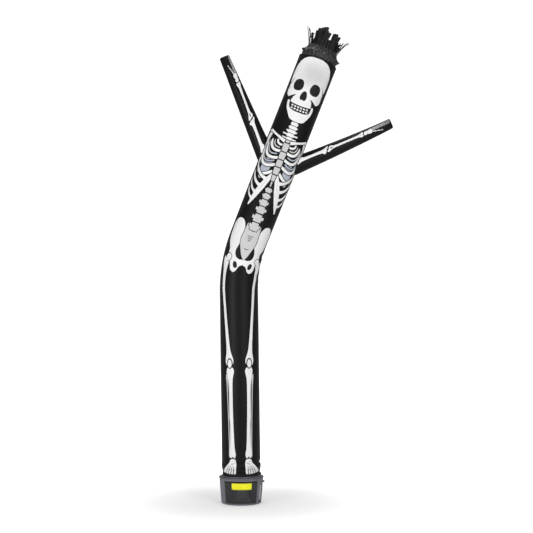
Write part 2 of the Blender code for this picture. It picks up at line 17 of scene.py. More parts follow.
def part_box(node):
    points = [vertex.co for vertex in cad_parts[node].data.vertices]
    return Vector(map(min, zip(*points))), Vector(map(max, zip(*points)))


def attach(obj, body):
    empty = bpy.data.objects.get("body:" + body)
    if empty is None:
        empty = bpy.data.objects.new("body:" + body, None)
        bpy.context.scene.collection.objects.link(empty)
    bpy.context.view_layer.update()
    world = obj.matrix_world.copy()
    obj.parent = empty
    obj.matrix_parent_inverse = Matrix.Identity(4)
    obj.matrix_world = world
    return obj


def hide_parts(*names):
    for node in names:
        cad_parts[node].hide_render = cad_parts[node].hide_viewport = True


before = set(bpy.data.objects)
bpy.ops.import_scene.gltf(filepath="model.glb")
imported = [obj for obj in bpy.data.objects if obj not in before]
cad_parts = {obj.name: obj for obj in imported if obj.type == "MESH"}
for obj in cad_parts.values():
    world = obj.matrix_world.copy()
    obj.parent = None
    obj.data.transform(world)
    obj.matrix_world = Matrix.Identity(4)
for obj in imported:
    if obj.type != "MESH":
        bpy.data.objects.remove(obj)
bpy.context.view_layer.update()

# %% [markdown]
# ## Sizes of the tube
# The tube is a straight leg, a bend and a leaning torso, a little wider above the bend.
# The hem's height comes from the tube's box in the frame, and the other numbers are the
# sizes of the solid. A distance runs along the tube's middle from the hem.

# %% Driving sizes
HEM_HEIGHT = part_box("tube_body")[0][2]
TUBE_RADIUS = 0.232
HEAD_RADIUS = 0.240
WIDENS_FROM = 2.50
WIDENS_TO = 3.70
HEM_RADIUS = 0.224
CLOTH = 0.001
LEG_LEAN = math.radians(-0.83)
LEG_LENGTH = 2.197
BEND_ANGLE = math.radians(22.2)
BEND_RADIUS = 1.742
TORSO_LENGTH = 2.320
BEND_LENGTH = BEND_RADIUS * BEND_ANGLE
TORSO_LEAN = LEG_LEAN + BEND_ANGLE
TUBE_LENGTH = LEG_LENGTH + BEND_LENGTH + TORSO_LENGTH
CROWN_CORNER = 0.012
VENT_RADIUS = 0.120
HALF_CUT = math.pi * TUBE_RADIUS
SHOULDER = TUBE_LENGTH - CROWN_CORNER
CORNER_CUT = CROWN_CORNER * math.pi / 2
CROWN_CUT = HEAD_RADIUS - CROWN_CORNER - VENT_RADIUS
PANEL_LENGTH = SHOULDER + CORNER_CUT + CROWN_CUT
print("cut of the tube", round(2 * HALF_CUT, 3), "by", round(PANEL_LENGTH, 3))


def tube_axis(distance):
    """Middle of the tube and its lean, at a distance along it from the hem."""
    lean = LEG_LEAN
    reach = min(distance, LEG_LENGTH)
    middle = Vector((reach * math.sin(lean), 0, HEM_HEIGHT + reach * math.cos(lean)))
    if distance > LEG_LENGTH:
        turned = min(distance - LEG_LENGTH, BEND_LENGTH) / BEND_RADIUS
        lean = LEG_LEAN + turned
        middle.x += BEND_RADIUS * (math.cos(LEG_LEAN) - math.cos(lean))
        middle.z += BEND_RADIUS * (math.sin(lean) - math.sin(LEG_LEAN))
    rest = max(0, distance - LEG_LENGTH - BEND_LENGTH)
    middle += rest * Vector((math.sin(lean), 0, math.cos(lean)))
    return middle, lean


def around(distance, angle, radius):
    """A point beside the tube's axis; angle 0 is the front and grows towards +X."""
    middle, lean = tube_axis(distance)
    side = Vector((math.cos(lean), 0, -math.sin(lean)))
    return middle + side * radius * math.sin(angle) + Vector((0, -radius * math.cos(angle), 0))


# %% [markdown]
# ## Folds and wrinkles
# Air pressure pulls the cloth tight, so it only wrinkles where something holds it: at
# the strapped hem, inside the bend, at the arms and under the head's cuff. The main
# folds are the same few as in the solids. Fine wrinkles are added as waves that die out
# away from what holds the cloth, with noise to keep them uneven.

# %% Folds of the cloth
HEM_END = 0.030
FULL_WIDTH_AT = 0.075
FOLDS_GROW_OVER = 0.020
FOLDS = [
    # height, angle, half height, half angle, offset
    (0.160, 15, 0.013, 38, -0.009),
    (0.157, 88, 0.014, 26, -0.012),
    (0.112, 70, 0.028, 45, 0.007),
    (0.085, -5, 0.016, 40, -0.007),
    (0.055, 60, 0.014, 50, -0.006),
    (0.120, -60, 0.030, 40, 0.004),
    (0.060, -95, 0.018, 45, -0.006),
    (0.130, 175, 0.020, 60, -0.008),
    (2.420, 90, 0.030, 45, -0.005),
    (2.560, 95, 0.035, 50, -0.006),
    (2.700, 85, 0.030, 45, -0.005),
]
ARM_CROSSING = 1.505
ARM_ROOT_AT = TUBE_LENGTH - ARM_CROSSING + 0.25
FINE_FOOT = 0.0030
FINE_HEM = 0.0016
FINE_CROWN = 0.0022
FINE_ARM = 0.0016
FINE_BEND = 0.0022
SLACK = 0.0010


def main_folds(distance, angle):
    share = min(1, max(0, (distance - HEM_END) / FOLDS_GROW_OVER))
    total = 0
    for height, middle, half_height, half_angle, offset in FOLDS:
        turn = (math.degrees(angle) - middle + 180) % 360 - 180
        along = (distance - height) / half_height
        if abs(along) < 4:
            total += offset * math.exp(-(along * along) - (turn / half_angle) ** 2)
    return total * share


def fine_wrinkles(distance, angle):
    """Small waves where the cloth is held, and a faint slackness everywhere else."""
    spot = Vector((math.sin(angle), math.cos(angle), distance * 1.4))
    uneven = noise.noise(spot * 3.1)
    low = math.exp(-((distance - 0.10) / 0.09) ** 2)
    total = FINE_FOOT * low * noise.noise(Vector((spot.x * 2.2, spot.y * 2.2, distance * 46)))
    pleats = math.cos(44 * angle + 5 * uneven)
    total += FINE_HEM * pleats * math.exp(-abs(distance - HEM_END) / 0.028)
    below_head = SHOULDER - distance
    total += FINE_CROWN * math.exp(-max(0, below_head) / 0.030) * math.cos(52 * angle + 6 * uneven)
    for side in (-90, 90):
        turn = math.radians(((math.degrees(angle) - side + 180) % 360) - 180) * TUBE_RADIUS
        rise = distance - ARM_ROOT_AT
        away = math.hypot(turn, rise * 0.72)
        if away < 0.4:
            star = math.cos(13 * math.atan2(turn, rise * 0.72) + 4 * uneven)
            total += FINE_ARM * star * math.exp(-max(0, away - 0.10) / 0.045)
    inside = max(0, math.sin(angle)) ** 2
    at_bend = math.exp(-((distance - LEG_LENGTH - BEND_LENGTH / 2) / 0.26) ** 2)
    total += FINE_BEND * inside * at_bend * math.sin(distance * 62 + 3 * uneven)
    total += SLACK * noise.noise(spot * 1.7)
    return total


def eased(value):
    share = min(1, max(0, value))
    return share * share * (3 - 2 * share)


def tube_radius(distance):
    opening = eased((distance - HEM_END) / (FULL_WIDTH_AT - HEM_END))
    widening = eased((distance - WIDENS_FROM) / (WIDENS_TO - WIDENS_FROM))
    return HEM_RADIUS + opening * (TUBE_RADIUS - HEM_RADIUS) + widening * (HEAD_RADIUS - TUBE_RADIUS)


def on_tube(across, along, lift=0):
    """The place of a point of the flat cut: across from the front line, along from the hem."""
    angle = across / TUBE_RADIUS
    if along <= SHOULDER:
        out = tube_radius(along) + main_folds(along, angle) + fine_wrinkles(along, angle)
        return around(along, angle, out + lift)
    if along <= SHOULDER + CORNER_CUT:
        turned = (along - SHOULDER) / CROWN_CORNER
        out = HEAD_RADIUS - (CROWN_CORNER + lift) * (1 - math.cos(turned)) + lift
        out += fine_wrinkles(along, angle) * math.cos(turned)
        return around(SHOULDER + (CROWN_CORNER + lift) * math.sin(turned), angle, out)
    inward = along - SHOULDER - CORNER_CUT
    puff = 0.004 * math.sin(math.pi * inward / CROWN_CUT)
    pucker = 0.0012 * math.cos(40 * angle) * math.exp(-abs(CROWN_CUT - inward) / 0.02)
    out = HEAD_RADIUS - CROWN_CORNER - inward
    return around(TUBE_LENGTH + puff + pucker + lift, angle, out)


# %% [markdown]
# ## Finishes
# The cloth is thin coated nylon with a ripstop grid of thicker threads, so its shader
# has a satin surface with a fine square grid in the bump, read from the cloth's own UV
# map in metres. The inks share that grid: a print changes the colour of the cloth and
# not its weave. Moulded plastic gets a fine grain and slight unevenness of gloss.

# %% Material helpers
def new_material(name, color, roughness, metallic=0.0, specular=0.5):
    made = bpy.data.materials.new(name)
    made.use_nodes = True
    shader = made.node_tree.nodes["Principled BSDF"]
    shader.inputs["Base Color"].default_value = (*color, 1)
    shader.inputs["Roughness"].default_value = roughness
    shader.inputs["Metallic"].default_value = metallic
    shader.inputs["Specular IOR Level"].default_value = specular
    return made, made.node_tree, shader


def add_node(tree, kind, **inputs):
    node = tree.nodes.new(kind)
    for name, value in inputs.items():
        node.inputs[name.replace("_", " ")].default_value = value
    return node


def vary_color(tree, shader, coordinates, color, change, scale):
    """Clouds of a slightly different colour, as on cloth and moulded plastic."""
    clouds = add_node(tree, "ShaderNodeTexNoise", Scale=scale, Detail=4.0)
    ramp = tree.nodes.new("ShaderNodeValToRGB")
    ramp.color_ramp.elements[0].position = 0.35
    ramp.color_ramp.elements[1].position = 0.70
    ramp.color_ramp.elements[0].color = (*[part * (1 - change) for part in color], 1)
    ramp.color_ramp.elements[1].color = (*[min(1, part * (1 + change)) for part in color], 1)
    tree.links.new(coordinates, clouds.inputs["Vector"])
    tree.links.new(clouds.outputs["Fac"], ramp.inputs["Fac"])
    tree.links.new(ramp.outputs["Color"], shader.inputs["Base Color"])


def cloth_material(name, color, roughness, change=0.12, grid=0.006, specular=0.16, sheen=0.008):
    made, tree, shader = new_material(name, color, roughness, specular=specular)
    shader.inputs["Sheen Weight"].default_value = sheen
    shader.inputs["Sheen Roughness"].default_value = 0.4
    place = tree.nodes.new("ShaderNodeTexCoord")
    heights = None
    for direction in ("X", "Y"):
        thread = add_node(tree, "ShaderNodeTexWave", Scale=0.5 / grid / math.pi, Distortion=0.0)
        thread.bands_direction = direction
        thread.wave_profile = "SIN"
        sharp = tree.nodes.new("ShaderNodeMath")
        sharp.operation = "POWER"
        sharp.inputs[1].default_value = 6
        tree.links.new(place.outputs["UV"], thread.inputs["Vector"])
        tree.links.new(thread.outputs["Fac"], sharp.inputs[0])
        if heights is None:
            heights = sharp
            continue
        both = tree.nodes.new("ShaderNodeMath")
        both.operation = "MAXIMUM"
        tree.links.new(heights.outputs[0], both.inputs[0])
        tree.links.new(sharp.outputs[0], both.inputs[1])
        heights = both
    bump = add_node(tree, "ShaderNodeBump", Strength=0.35, Distance=0.0004)
    tree.links.new(heights.outputs[0], bump.inputs["Height"])
    tree.links.new(bump.outputs["Normal"], shader.inputs["Normal"])
    vary_color(tree, shader, place.outputs["Object"], color, change, 2.4)
    return made


def plastic_material(name, color, roughness, grain=900.0, specular=0.5):
    made, tree, shader = new_material(name, color, roughness, specular=specular)
    place = tree.nodes.new("ShaderNodeTexCoord")
    vary_color(tree, shader, place.outputs["Object"], color, 0.10, 9.0)
    speckle = add_node(tree, "ShaderNodeTexNoise", Scale=grain, Detail=2.0)
    bump = add_node(tree, "ShaderNodeBump", Strength=0.25, Distance=0.0003)
    gloss = add_node(tree, "ShaderNodeTexNoise", Scale=6.0, Detail=5.0)
    spread = tree.nodes.new("ShaderNodeMapRange")
    spread.inputs["To Min"].default_value = roughness - 0.07
    spread.inputs["To Max"].default_value = roughness + 0.09
    tree.links.new(place.outputs["Object"], speckle.inputs["Vector"])
    tree.links.new(place.outputs["Object"], gloss.inputs["Vector"])
    tree.links.new(gloss.outputs["Fac"], spread.inputs["Value"])
    tree.links.new(spread.outputs["Result"], shader.inputs["Roughness"])
    tree.links.new(speckle.outputs["Fac"], bump.inputs["Height"])
    tree.links.new(bump.outputs["Normal"], shader.inputs["Normal"])
    return made


black_nylon = cloth_material("black_nylon", (0.0040, 0.0040, 0.0044), 0.46)
white_ink = cloth_material("white_ink", (0.86, 0.86, 0.86), 0.55, change=0.03)
grey_ink = cloth_material("grey_ink", (0.60, 0.60, 0.60), 0.55, change=0.04)
blue_ink = cloth_material("blue_grey_ink", (0.46, 0.50, 0.56), 0.55, change=0.05)
dark_ink = cloth_material("dark_ink", (0.014, 0.014, 0.015), 0.55)
# Painted shade: the fingers' mid grey ink darkens white printed fingers that lie on the sleeve's shaded side.
finger_shade_ink = cloth_material("finger_shade_grey_ink", (0.34, 0.34, 0.34), 0.55, change=0.15)


def shade_brow(finish, middle, reach, least):
    """A soft grey spot in an ink, about a place of the flat cloth."""
    tree = finish.node_tree
    shader = tree.nodes["Principled BSDF"]
    plain = shader.inputs["Base Color"].links[0].from_socket
    place = tree.nodes.new("ShaderNodeTexCoord")
    far = tree.nodes.new("ShaderNodeVectorMath")
    far.operation = "DISTANCE"
    far.inputs[1].default_value = (*middle, 0)
    soft = add_node(tree, "ShaderNodeMapRange", From_Min=0.03, From_Max=reach, To_Min=least, To_Max=1.0)
    soft.interpolation_type = "SMOOTHSTEP"
    dimmed = tree.nodes.new("ShaderNodeVectorMath")
    dimmed.operation = "SCALE"
    tree.links.new(place.outputs["UV"], far.inputs[0])
    tree.links.new(far.outputs["Value"], soft.inputs["Value"])
    tree.links.new(plain, dimmed.inputs[0])
    tree.links.new(soft.outputs["Result"], dimmed.inputs["Scale"])
    tree.links.new(dimmed.outputs["Vector"], shader.inputs["Base Color"])


shade_brow(white_ink, (0.02, TUBE_LENGTH - 0.22), 0.24, 0.74)
INKS = [black_nylon, white_ink, grey_ink, blue_ink, dark_ink, finger_shade_ink]
BLACK, WHITE, GREY, BLUE, DARK, FINGER_SHADE = range(6)
print("inks", [finish.name for finish in INKS])

# %% [markdown]
# ## Drawing the skeleton
# The front carries a printed skeleton, a common figure. Its bones follow the photo in
# place, size and ink, and each outline is set as a few listed corners, with no picture
# behind it. The measures are the flat cloth's own: x across from the front line and y
# down from the head end, in metres. Curved outlines pass smoothly through their corners,
# and what comes in pairs or rows is a loop.

# %% Outline helpers
figure = []


def ink(outline, colour):
    figure.append((outline, colour))


def smooth_outline(corners, steps=4):
    """A closed curve through the corners, as a chain of points."""
    count = len(corners)
    points = []
    for number in range(count):
        before, start, end, after = (corners[(number + k) % count] for k in (-1, 0, 1, 2))
        for step in range(steps):
            t = step / steps
            weights = (
                -0.5 * t + t * t - 0.5 * t ** 3,
                1 - 2.5 * t * t + 1.5 * t ** 3,
                0.5 * t + 2 * t * t - 1.5 * t ** 3,
                -0.5 * t * t + 0.5 * t ** 3,
            )
            near = (before, start, end, after)
            points.append(tuple(sum(w * p[k] for w, p in zip(weights, near)) for k in (0, 1)))
    return points


def flipped(outline):
    return [(-x, y) for x, y in reversed(outline)]


def ink_sides(parts):
    """The same parts on both sides of the figure, each as (outline, ink)."""
    for side in (-1, 1):
        for outline, colour in parts:
            ink(outline if side > 0 else flipped(outline), colour)


def both_sides(half):
    """A whole outline from its right half, listed from top to bottom."""
    return half + [(-x, y) for x, y in reversed(half) if abs(x) > 1e-6]


def ellipse(x, y, wide, high, turn=0, count=20):
    points = []
    for number in range(count):
        a = 2 * math.pi * number / count
        u, v = wide * math.cos(a), high * math.sin(a)
        points.append((x + u * math.cos(turn) - v * math.sin(turn),
                       y + u * math.sin(turn) + v * math.cos(turn)))
    return points


def band(line, widths):
    """A strip along a line of points, of the given half width at each of them."""
    left = []
    right = []
    for number, (x, y) in enumerate(line):
        ax, ay = line[max(0, number - 1)]
        bx, by = line[min(len(line) - 1, number + 1)]
        long = math.hypot(bx - ax, by - ay)
        nx, ny = -(by - ay) / long, (bx - ax) / long
        half = widths[number]
        left.append((x + nx * half, y + ny * half))
        right.append((x - nx * half, y - ny * half))
    return left + right[::-1]


LONG_BONE = [
    # share of the length, part of the head's width, part of the shaft's width
    (0.000, 0.55, 0.0), (0.020, 0.92, 0.0), (0.050, 1.00, 0.0), (0.085, 0.82, 0.0),
    (0.130, 0.30, 0.7), (0.200, 0.06, 1.0), (0.350, 0.0, 1.0), (0.500, 0.0, 0.95),
    (0.650, 0.0, 1.0), (0.800, 0.06, 1.0), (0.870, 0.30, 0.7), (0.915, 0.82, 0.0),
    (0.950, 1.00, 0.0), (0.980, 0.92, 0.0), (1.000, 0.55, 0.0),
]


def long_bone(start, end, shaft, head, foot):
    """A shaft with a knob of two humps at each end."""
    across = (-(end[1] - start[1]), end[0] - start[0])
    long = math.hypot(*across)
    across = (across[0] / long, across[1] / long)
    sides = ([], [])
    for share, knob, plain in LONG_BONE:
        half = knob * (head if share < 0.5 else foot) / 2 + plain * shaft / 2
        x = start[0] + (end[0] - start[0]) * share
        y = start[1] + (end[1] - start[1]) * share
        sides[0].append((x + across[0] * half, y + across[1] * half))
        sides[1].append((x - across[0] * half, y - across[1] * half))
    dip = 0.018
    top = (start[0] + (end[0] - start[0]) * dip, start[1] + (end[1] - start[1]) * dip)
    low = (end[0] - (end[0] - start[0]) * dip, end[1] - (end[1] - start[1]) * dip)
    return smooth_outline([top] + sides[0] + [low] + sides[1][::-1], 3)


print("outline helpers ready")

# %% The skull
EDGE = 0.0095
SKULL_HALF = [
    (0.000, 0.020), (0.100, 0.030), (0.184, 0.076), (0.238, 0.160), (0.254, 0.262),
    (0.250, 0.335), (0.240, 0.400), (0.232, 0.440), (0.240, 0.480), (0.224, 0.530),
    (0.186, 0.556), (0.152, 0.546), (0.136, 0.574), (0.128, 0.614), (0.070, 0.632), (0.000, 0.636),
]
JAW_HALF = [
    (0.000, 0.702), (0.060, 0.700), (0.118, 0.682), (0.134, 0.640), (0.144, 0.606),
    (0.160, 0.594), (0.172, 0.620), (0.160, 0.694), (0.112, 0.778), (0.086, 0.812),
    (0.040, 0.830), (0.000, 0.832),
]
NOSE_HALF = [
    (0.000, 0.446), (0.022, 0.460), (0.037, 0.500), (0.038, 0.540),
    (0.024, 0.562), (0.008, 0.562), (0.000, 0.556),
]
SOCKET = [
    (0.042, 0.402), (0.058, 0.340), (0.104, 0.320), (0.156, 0.340), (0.174, 0.396),
    (0.152, 0.452), (0.104, 0.466), (0.060, 0.450),
]
CHEEK_NOTCH = [(0.186, 0.566), (0.146, 0.538), (0.092, 0.514), (0.118, 0.552), (0.132, 0.600), (0.150, 0.600)]
MOUTH = [
    (-0.140, 0.600), (-0.112, 0.620), (0.000, 0.632), (0.112, 0.620), (0.140, 0.600),
    (0.130, 0.678), (0.074, 0.710), (0.000, 0.716), (-0.074, 0.710), (-0.130, 0.678),
]
TEETH = 6
TOOTH_STEP = 0.037
TOOTH_GAP = 0.014
TOOTH_ROWS = [
    # top, height
    (0.647, 0.019),
    (0.680, 0.018),
]
jaw_edge = [(x + 1.2 * EDGE * (x > 0), y + EDGE * (y > 0.7)) for x, y in JAW_HALF]
ink(smooth_outline(both_sides(jaw_edge)), BLACK)
ink(smooth_outline(both_sides(SKULL_HALF)), WHITE)
ink(smooth_outline(both_sides(JAW_HALF)), WHITE)
temple = band([(0.192, 0.312), (0.220, 0.370), (0.258, 0.424)], (0.001, 0.005, 0.011))
brow = band([(0.212, 0.150), (0.228, 0.230), (0.226, 0.300)], (0.001, 0.005, 0.001))
notch = smooth_outline(CHEEK_NOTCH, 2)
ink_sides([(smooth_outline(SOCKET), DARK), (notch, DARK), (temple, DARK), (brow, GREY)])
ink(smooth_outline(both_sides(NOSE_HALF)), DARK)
ink(smooth_outline(MOUTH), DARK)
for number in range(TEETH):
    middle = (number - (TEETH - 1) / 2) * TOOTH_STEP
    half = TOOTH_STEP / 2 - TOOTH_GAP / 2
    rise = 0.9 * middle * middle
    for top, tall in TOOTH_ROWS:
        ink([(middle - half, top - rise), (middle + half, top - rise),
             (middle + half, top - rise + tall), (middle - half, top - rise + tall)], WHITE)
print("skull and jaw", len(figure), "outlines")

# %% [markdown]
# The trunk is a spine of repeated vertebrae, a breastbone in short blocks, and pairs of
# ribs that start beside the breastbone, sag and rise again to the side. A dark edge round
# each rib parts it from its neighbours, and thinner grey and blue ribs lie between the
# white ones. The lowest ribs are merged with a long arch of cartilage on each side, so
# all their edges are drawn first, and their white over all the edges.

# %% Spine, chest and shoulders
def vertebra(y, wide, tall, wing, colour):
    """A block with a pointed wing on either side, over a dark edge."""
    half = [
        (0.0, -tall / 2), (wide * 0.42, -tall * 0.48), (wide * 0.44, -tall * 0.20),
        (wide / 2 + wing, -tall * 0.30), (wide / 2 + wing * 0.9, tall * 0.14),
        (wide * 0.46, tall * 0.20), (wide * 0.5, tall * 0.46), (0.0, tall * 0.50),
    ]
    outline = smooth_outline(both_sides(half), 2)
    across = 1 + 2 * EDGE / (wide + 2 * wing)
    ink([(x * across, y + offset * (1 + 1.6 * EDGE / tall)) for x, offset in outline], BLACK)
    ink([(x, y + offset) for x, offset in outline], colour)


def rounded_block(top, low, wide, narrow):
    """A short block with soft corners, from its top and bottom half widths."""
    soft = 0.25 * min(wide, narrow)
    half = [(0.0, top), (wide - soft, top), (wide, top + soft), (narrow, low - soft),
            (narrow - soft, low), (0.0, low)]
    return smooth_outline(both_sides(half), 2)


lobe = smooth_outline([
    (0.080, 1.350), (0.130, 1.336), (0.180, 1.360), (0.206, 1.430), (0.204, 1.520),
    (0.186, 1.600), (0.140, 1.600), (0.090, 1.500),
])
blade = smooth_outline([
    (0.225, 1.030), (0.282, 1.040), (0.300, 1.110), (0.272, 1.260), (0.252, 1.230), (0.246, 1.120),
])
ink_sides([(lobe, BLUE), (blade, WHITE)])
NECK_BONES = [
    # height, width, length, wing
    (0.862, 0.082, 0.042, 0.004),
    (0.910, 0.092, 0.040, 0.008),
    (0.957, 0.098, 0.040, 0.016),
    (1.004, 0.088, 0.042, 0.046),
    (1.050, 0.066, 0.036, 0.052),
]
for height, wide, long, wing in NECK_BONES:
    vertebra(height, wide, long, wing, WHITE)
RIB_STEPS = 10
RIB_PAIRS = [
    # height at the breastbone, inner end, reach, rise of the outer end, sag, half width, ink
    (1.146, 0.044, 0.116, 0.058, 0.004, 0.0120, WHITE),
    (1.184, 0.060, 0.150, 0.082, 0.006, 0.0070, GREY),
    (1.222, 0.038, 0.188, 0.120, 0.014, 0.0165, WHITE),
    (1.266, 0.066, 0.216, 0.142, 0.020, 0.0080, BLUE),
    (1.308, 0.038, 0.238, 0.156, 0.030, 0.0170, WHITE),
    (1.354, 0.068, 0.256, 0.168, 0.040, 0.0090, BLUE),
    (1.398, 0.040, 0.270, 0.178, 0.052, 0.0175, WHITE),
    (1.486, 0.042, 0.292, 0.182, 0.084, 0.0175, WHITE),
]
LOW_RIBS = [
    # inner end, bend, outer end, half width
    ((0.060, 1.600), (0.196, 1.590), (0.302, 1.410), 0.0165),
    ((0.096, 1.700), (0.224, 1.680), (0.304, 1.520), 0.0160),
    ((0.130, 1.790), (0.236, 1.770), (0.300, 1.630), 0.0145),
    ((0.160, 1.872), (0.244, 1.846), (0.292, 1.730), 0.0120),
]
ARCH = [(0.022, 1.505), (0.058, 1.590), (0.096, 1.690), (0.128, 1.780), (0.158, 1.870), (0.184, 1.955)]


def rib_line(height, inner, reach, rise, sag):
    line = []
    for step in range(RIB_STEPS + 1):
        a = step / RIB_STEPS
        x = inner + (reach - inner) * math.sin(a * math.pi / 2) ** 0.85
        y = height - rise * a ** 2.2 + sag * math.sin(math.pi * a ** 0.8)
        line.append((x, y))
    return line


def bent_line(start, bend, end, steps=8):
    """Points of a curve that leaves its start and reaches its end towards the bend."""
    shares = [step / steps for step in range(steps + 1)]
    return [tuple((1 - t) ** 2 * a + 2 * t * (1 - t) * b + t * t * c for a, b, c in zip(start, bend, end))
            for t in shares]


def both_bands(bands, edge=EDGE):
    """Bands of (line, half widths, ink) on both sides of the figure, over one dark edge."""
    for extra in (edge, 0.0):
        for line, halves, shade in bands:
            outline = band(line, [half + extra for half in halves])
            ink(outline, BLACK if extra else shade)
            ink(flipped(outline), BLACK if extra else shade)


for *shape, half, shade in RIB_PAIRS:
    widths = [0.9 * half] + [half] * (RIB_STEPS - 2) + [0.8 * half, 0.4 * half]
    both_bands([(rib_line(*shape), widths, shade)])
cartilage = [(ARCH, (0.014, 0.028, 0.036, 0.034, 0.026, 0.008), WHITE)]
for start, bend, end, half in LOW_RIBS:
    widths = [1.5 * half, 1.3 * half, 1.1 * half] + [half] * 3 + [0.9 * half, 0.7 * half, 0.4 * half]
    cartilage.append((bent_line(start, bend, end), widths, WHITE))
both_bands(cartilage)
both_bands([([(0.050, 1.560), (0.084, 1.660), (0.116, 1.760)], (0.0008, 0.0040, 0.0008), GREY)], 0.0)
BREASTBONE = [
    # top, bottom, top half width, bottom half width
    (1.072, 1.100, 0.022, 0.020),
    (1.114, 1.214, 0.036, 0.031),
    (1.228, 1.314, 0.036, 0.034),
    (1.328, 1.410, 0.035, 0.034),
    (1.424, 1.508, 0.036, 0.030),
    (1.522, 1.594, 0.025, 0.018),
    (1.606, 1.672, 0.009, 0.005),
]
for top, low, wide, narrow in BREASTBONE:
    ink(rounded_block(top - EDGE, low + EDGE, wide + EDGE, narrow + EDGE), BLACK)
    ink(rounded_block(top, low, wide, narrow), GREY)
COLLAR = [(0.034, 1.094), (0.062, 1.086), (0.130, 1.058), (0.200, 1.030), (0.262, 1.004), (0.300, 1.014)]
both_bands([(COLLAR, (0.021, 0.018, 0.013, 0.013, 0.017, 0.010), WHITE)])
BACK_BONES = [
    # height, width, length, wing
    (1.716, 0.064, 0.056, 0.008),
    (1.792, 0.072, 0.066, 0.012),
    (1.876, 0.080, 0.076, 0.017),
    (1.968, 0.088, 0.084, 0.020),
    (2.074, 0.096, 0.094, 0.022),
]
for height, wide, long, wing in BACK_BONES:
    vertebra(height, wide, long, wing, GREY)
print("with the trunk", len(figure), "outlines")

# %% Hips and legs
HIP_HALF = [
    (0.086, 2.330), (0.108, 2.210), (0.150, 2.145), (0.220, 2.132), (0.274, 2.190), (0.282, 2.300),
    (0.256, 2.420), (0.214, 2.500), (0.214, 2.560), (0.196, 2.620), (0.168, 2.650),
    (0.146, 2.730), (0.100, 2.766), (0.066, 2.740), (0.040, 2.690), (0.000, 2.668),
    (0.000, 2.608), (0.046, 2.610), (0.096, 2.586), (0.120, 2.520), (0.098, 2.430),
]
SACRUM_HALF = [
    (0.000, 2.246), (0.030, 2.236), (0.050, 2.192), (0.070, 2.160), (0.088, 2.180), (0.094, 2.280),
    (0.099, 2.360), (0.090, 2.420), (0.062, 2.500), (0.030, 2.572), (0.000, 2.606),
]
SACRUM_LINES = [
    # height, half width
    (2.312, 0.042),
    (2.338, 0.034),
    (2.364, 0.022),
    (2.474, 0.032),
]
FOOT_AT = TUBE_LENGTH
HIP_JOINT = (0.236, 2.590)
KNEE = (0.123, FOOT_AT - 1.310)
ANKLE = (0.098, FOOT_AT - 0.222)
gap = ellipse(0.092, 2.678, 0.026, 0.042, 0.35)
crest_line = [(0.216, 2.156), (0.250, 2.210), (0.252, 2.300), (0.224, 2.400)]
crest = band(crest_line, (0.001, 0.006, 0.006, 0.001))
ink_sides([(smooth_outline(HIP_HALF, 3), WHITE), (gap, DARK), (crest, GREY)])
ink(smooth_outline(both_sides([(x + 0.008 * (x > 0), y) for x, y in SACRUM_HALF]), 3), BLACK)
ink(smooth_outline(both_sides(SACRUM_HALF), 3), GREY)
for y, wide in SACRUM_LINES:
    arc = bent_line((-wide, y - 0.012), (0, y + 0.016), (wide, y - 0.012), 6)
    ink(band(arc, (0.0008, 0.0030, 0.0042, 0.0046, 0.0042, 0.0030, 0.0008)), BLACK)
vertebra(2.184, 0.096, 0.100, 0.018, GREY)


def moved(point, right, down):
    return point[0] + right, point[1] + down


thigh = long_bone(HIP_JOINT, moved(KNEE, 0, -0.012), 0.040, 0.098, 0.108)
shin = long_bone(moved(KNEE, -0.004, 0.012), ANKLE, 0.046, 0.100, 0.080)
outer = long_bone(moved(KNEE, 0.044, 0.085), moved(ANKLE, 0.036, -0.004), 0.012, 0.030, 0.026)
ball_middle = moved(HIP_JOINT, -0.040, 0.010)
ball_edge = ellipse(*ball_middle, 0.048, 0.050)
ball = ellipse(*ball_middle, 0.040, 0.042)
neck = band([ball_middle, moved(HIP_JOINT, 0.006, 0.062)], (0.026, 0.030))
cap_edge = ellipse(*moved(KNEE, 0, -0.038), 0.040, 0.062)
cap = ellipse(*moved(KNEE, 0, -0.034), 0.028, 0.050)
shade_line = [moved(KNEE, 0.012, 0.20), moved(KNEE, 0.010, 0.60), moved(ANKLE, 0.008, -0.2)]
shade = band(shade_line, (0.001, 0.005, 0.001))
ink_sides([
    (outer, GREY), (thigh, WHITE), (ball_edge, BLACK), (ball, WHITE), (neck, WHITE), (shin, WHITE),
    (cap_edge, BLACK), (cap, WHITE), (shade, GREY),
])
print("with the legs", len(figure), "outlines")

# %% Feet
FOOT = [
    (0.062, 0.214), (0.098, 0.222), (0.136, 0.212), (0.140, 0.180), (0.168, 0.150), (0.206, 0.112),
    (0.240, 0.084), (0.262, 0.066), (0.262, 0.052), (0.240, 0.046), (0.205, 0.042), (0.165, 0.036),
    (0.120, 0.033), (0.078, 0.034), (0.062, 0.046), (0.060, 0.090), (0.054, 0.140), (0.058, 0.180),
]
FOOT_LINES = [
    # start, end, half width
    ((0.086, 0.128), (0.098, 0.020), 0.0050),
    ((0.104, 0.134), (0.138, 0.022), 0.0046),
    ((0.122, 0.138), (0.178, 0.026), 0.0042),
    ((0.140, 0.140), (0.218, 0.032), 0.0038),
    ((0.066, 0.078), (0.088, 0.082), 0.0020),
    ((0.098, 0.084), (0.116, 0.086), 0.0020),
    ((0.126, 0.088), (0.144, 0.088), 0.0020),
    ((0.154, 0.092), (0.174, 0.084), 0.0020),
    ((0.072, 0.162), (0.120, 0.150), 0.0028),
]
foot = smooth_outline([(x, FOOT_AT - y) for x, y in FOOT], 3)
ankle_bend = bent_line((0.054, FOOT_AT - 0.196), (0.098, FOOT_AT - 0.246), (0.144, FOOT_AT - 0.196))
foot_parts = [(foot, WHITE), (band(ankle_bend, [0.001] + [0.0048] * 7 + [0.001]), BLACK)]
for (ax, ay), (bx, by), half in FOOT_LINES:
    line = [(ax, FOOT_AT - ay), ((ax + bx) / 2, FOOT_AT - (ay + by) / 2), (bx, FOOT_AT - by)]
    foot_parts.append((band(line, (0.3 * half, half, half)), DARK))
ink_sides(foot_parts)
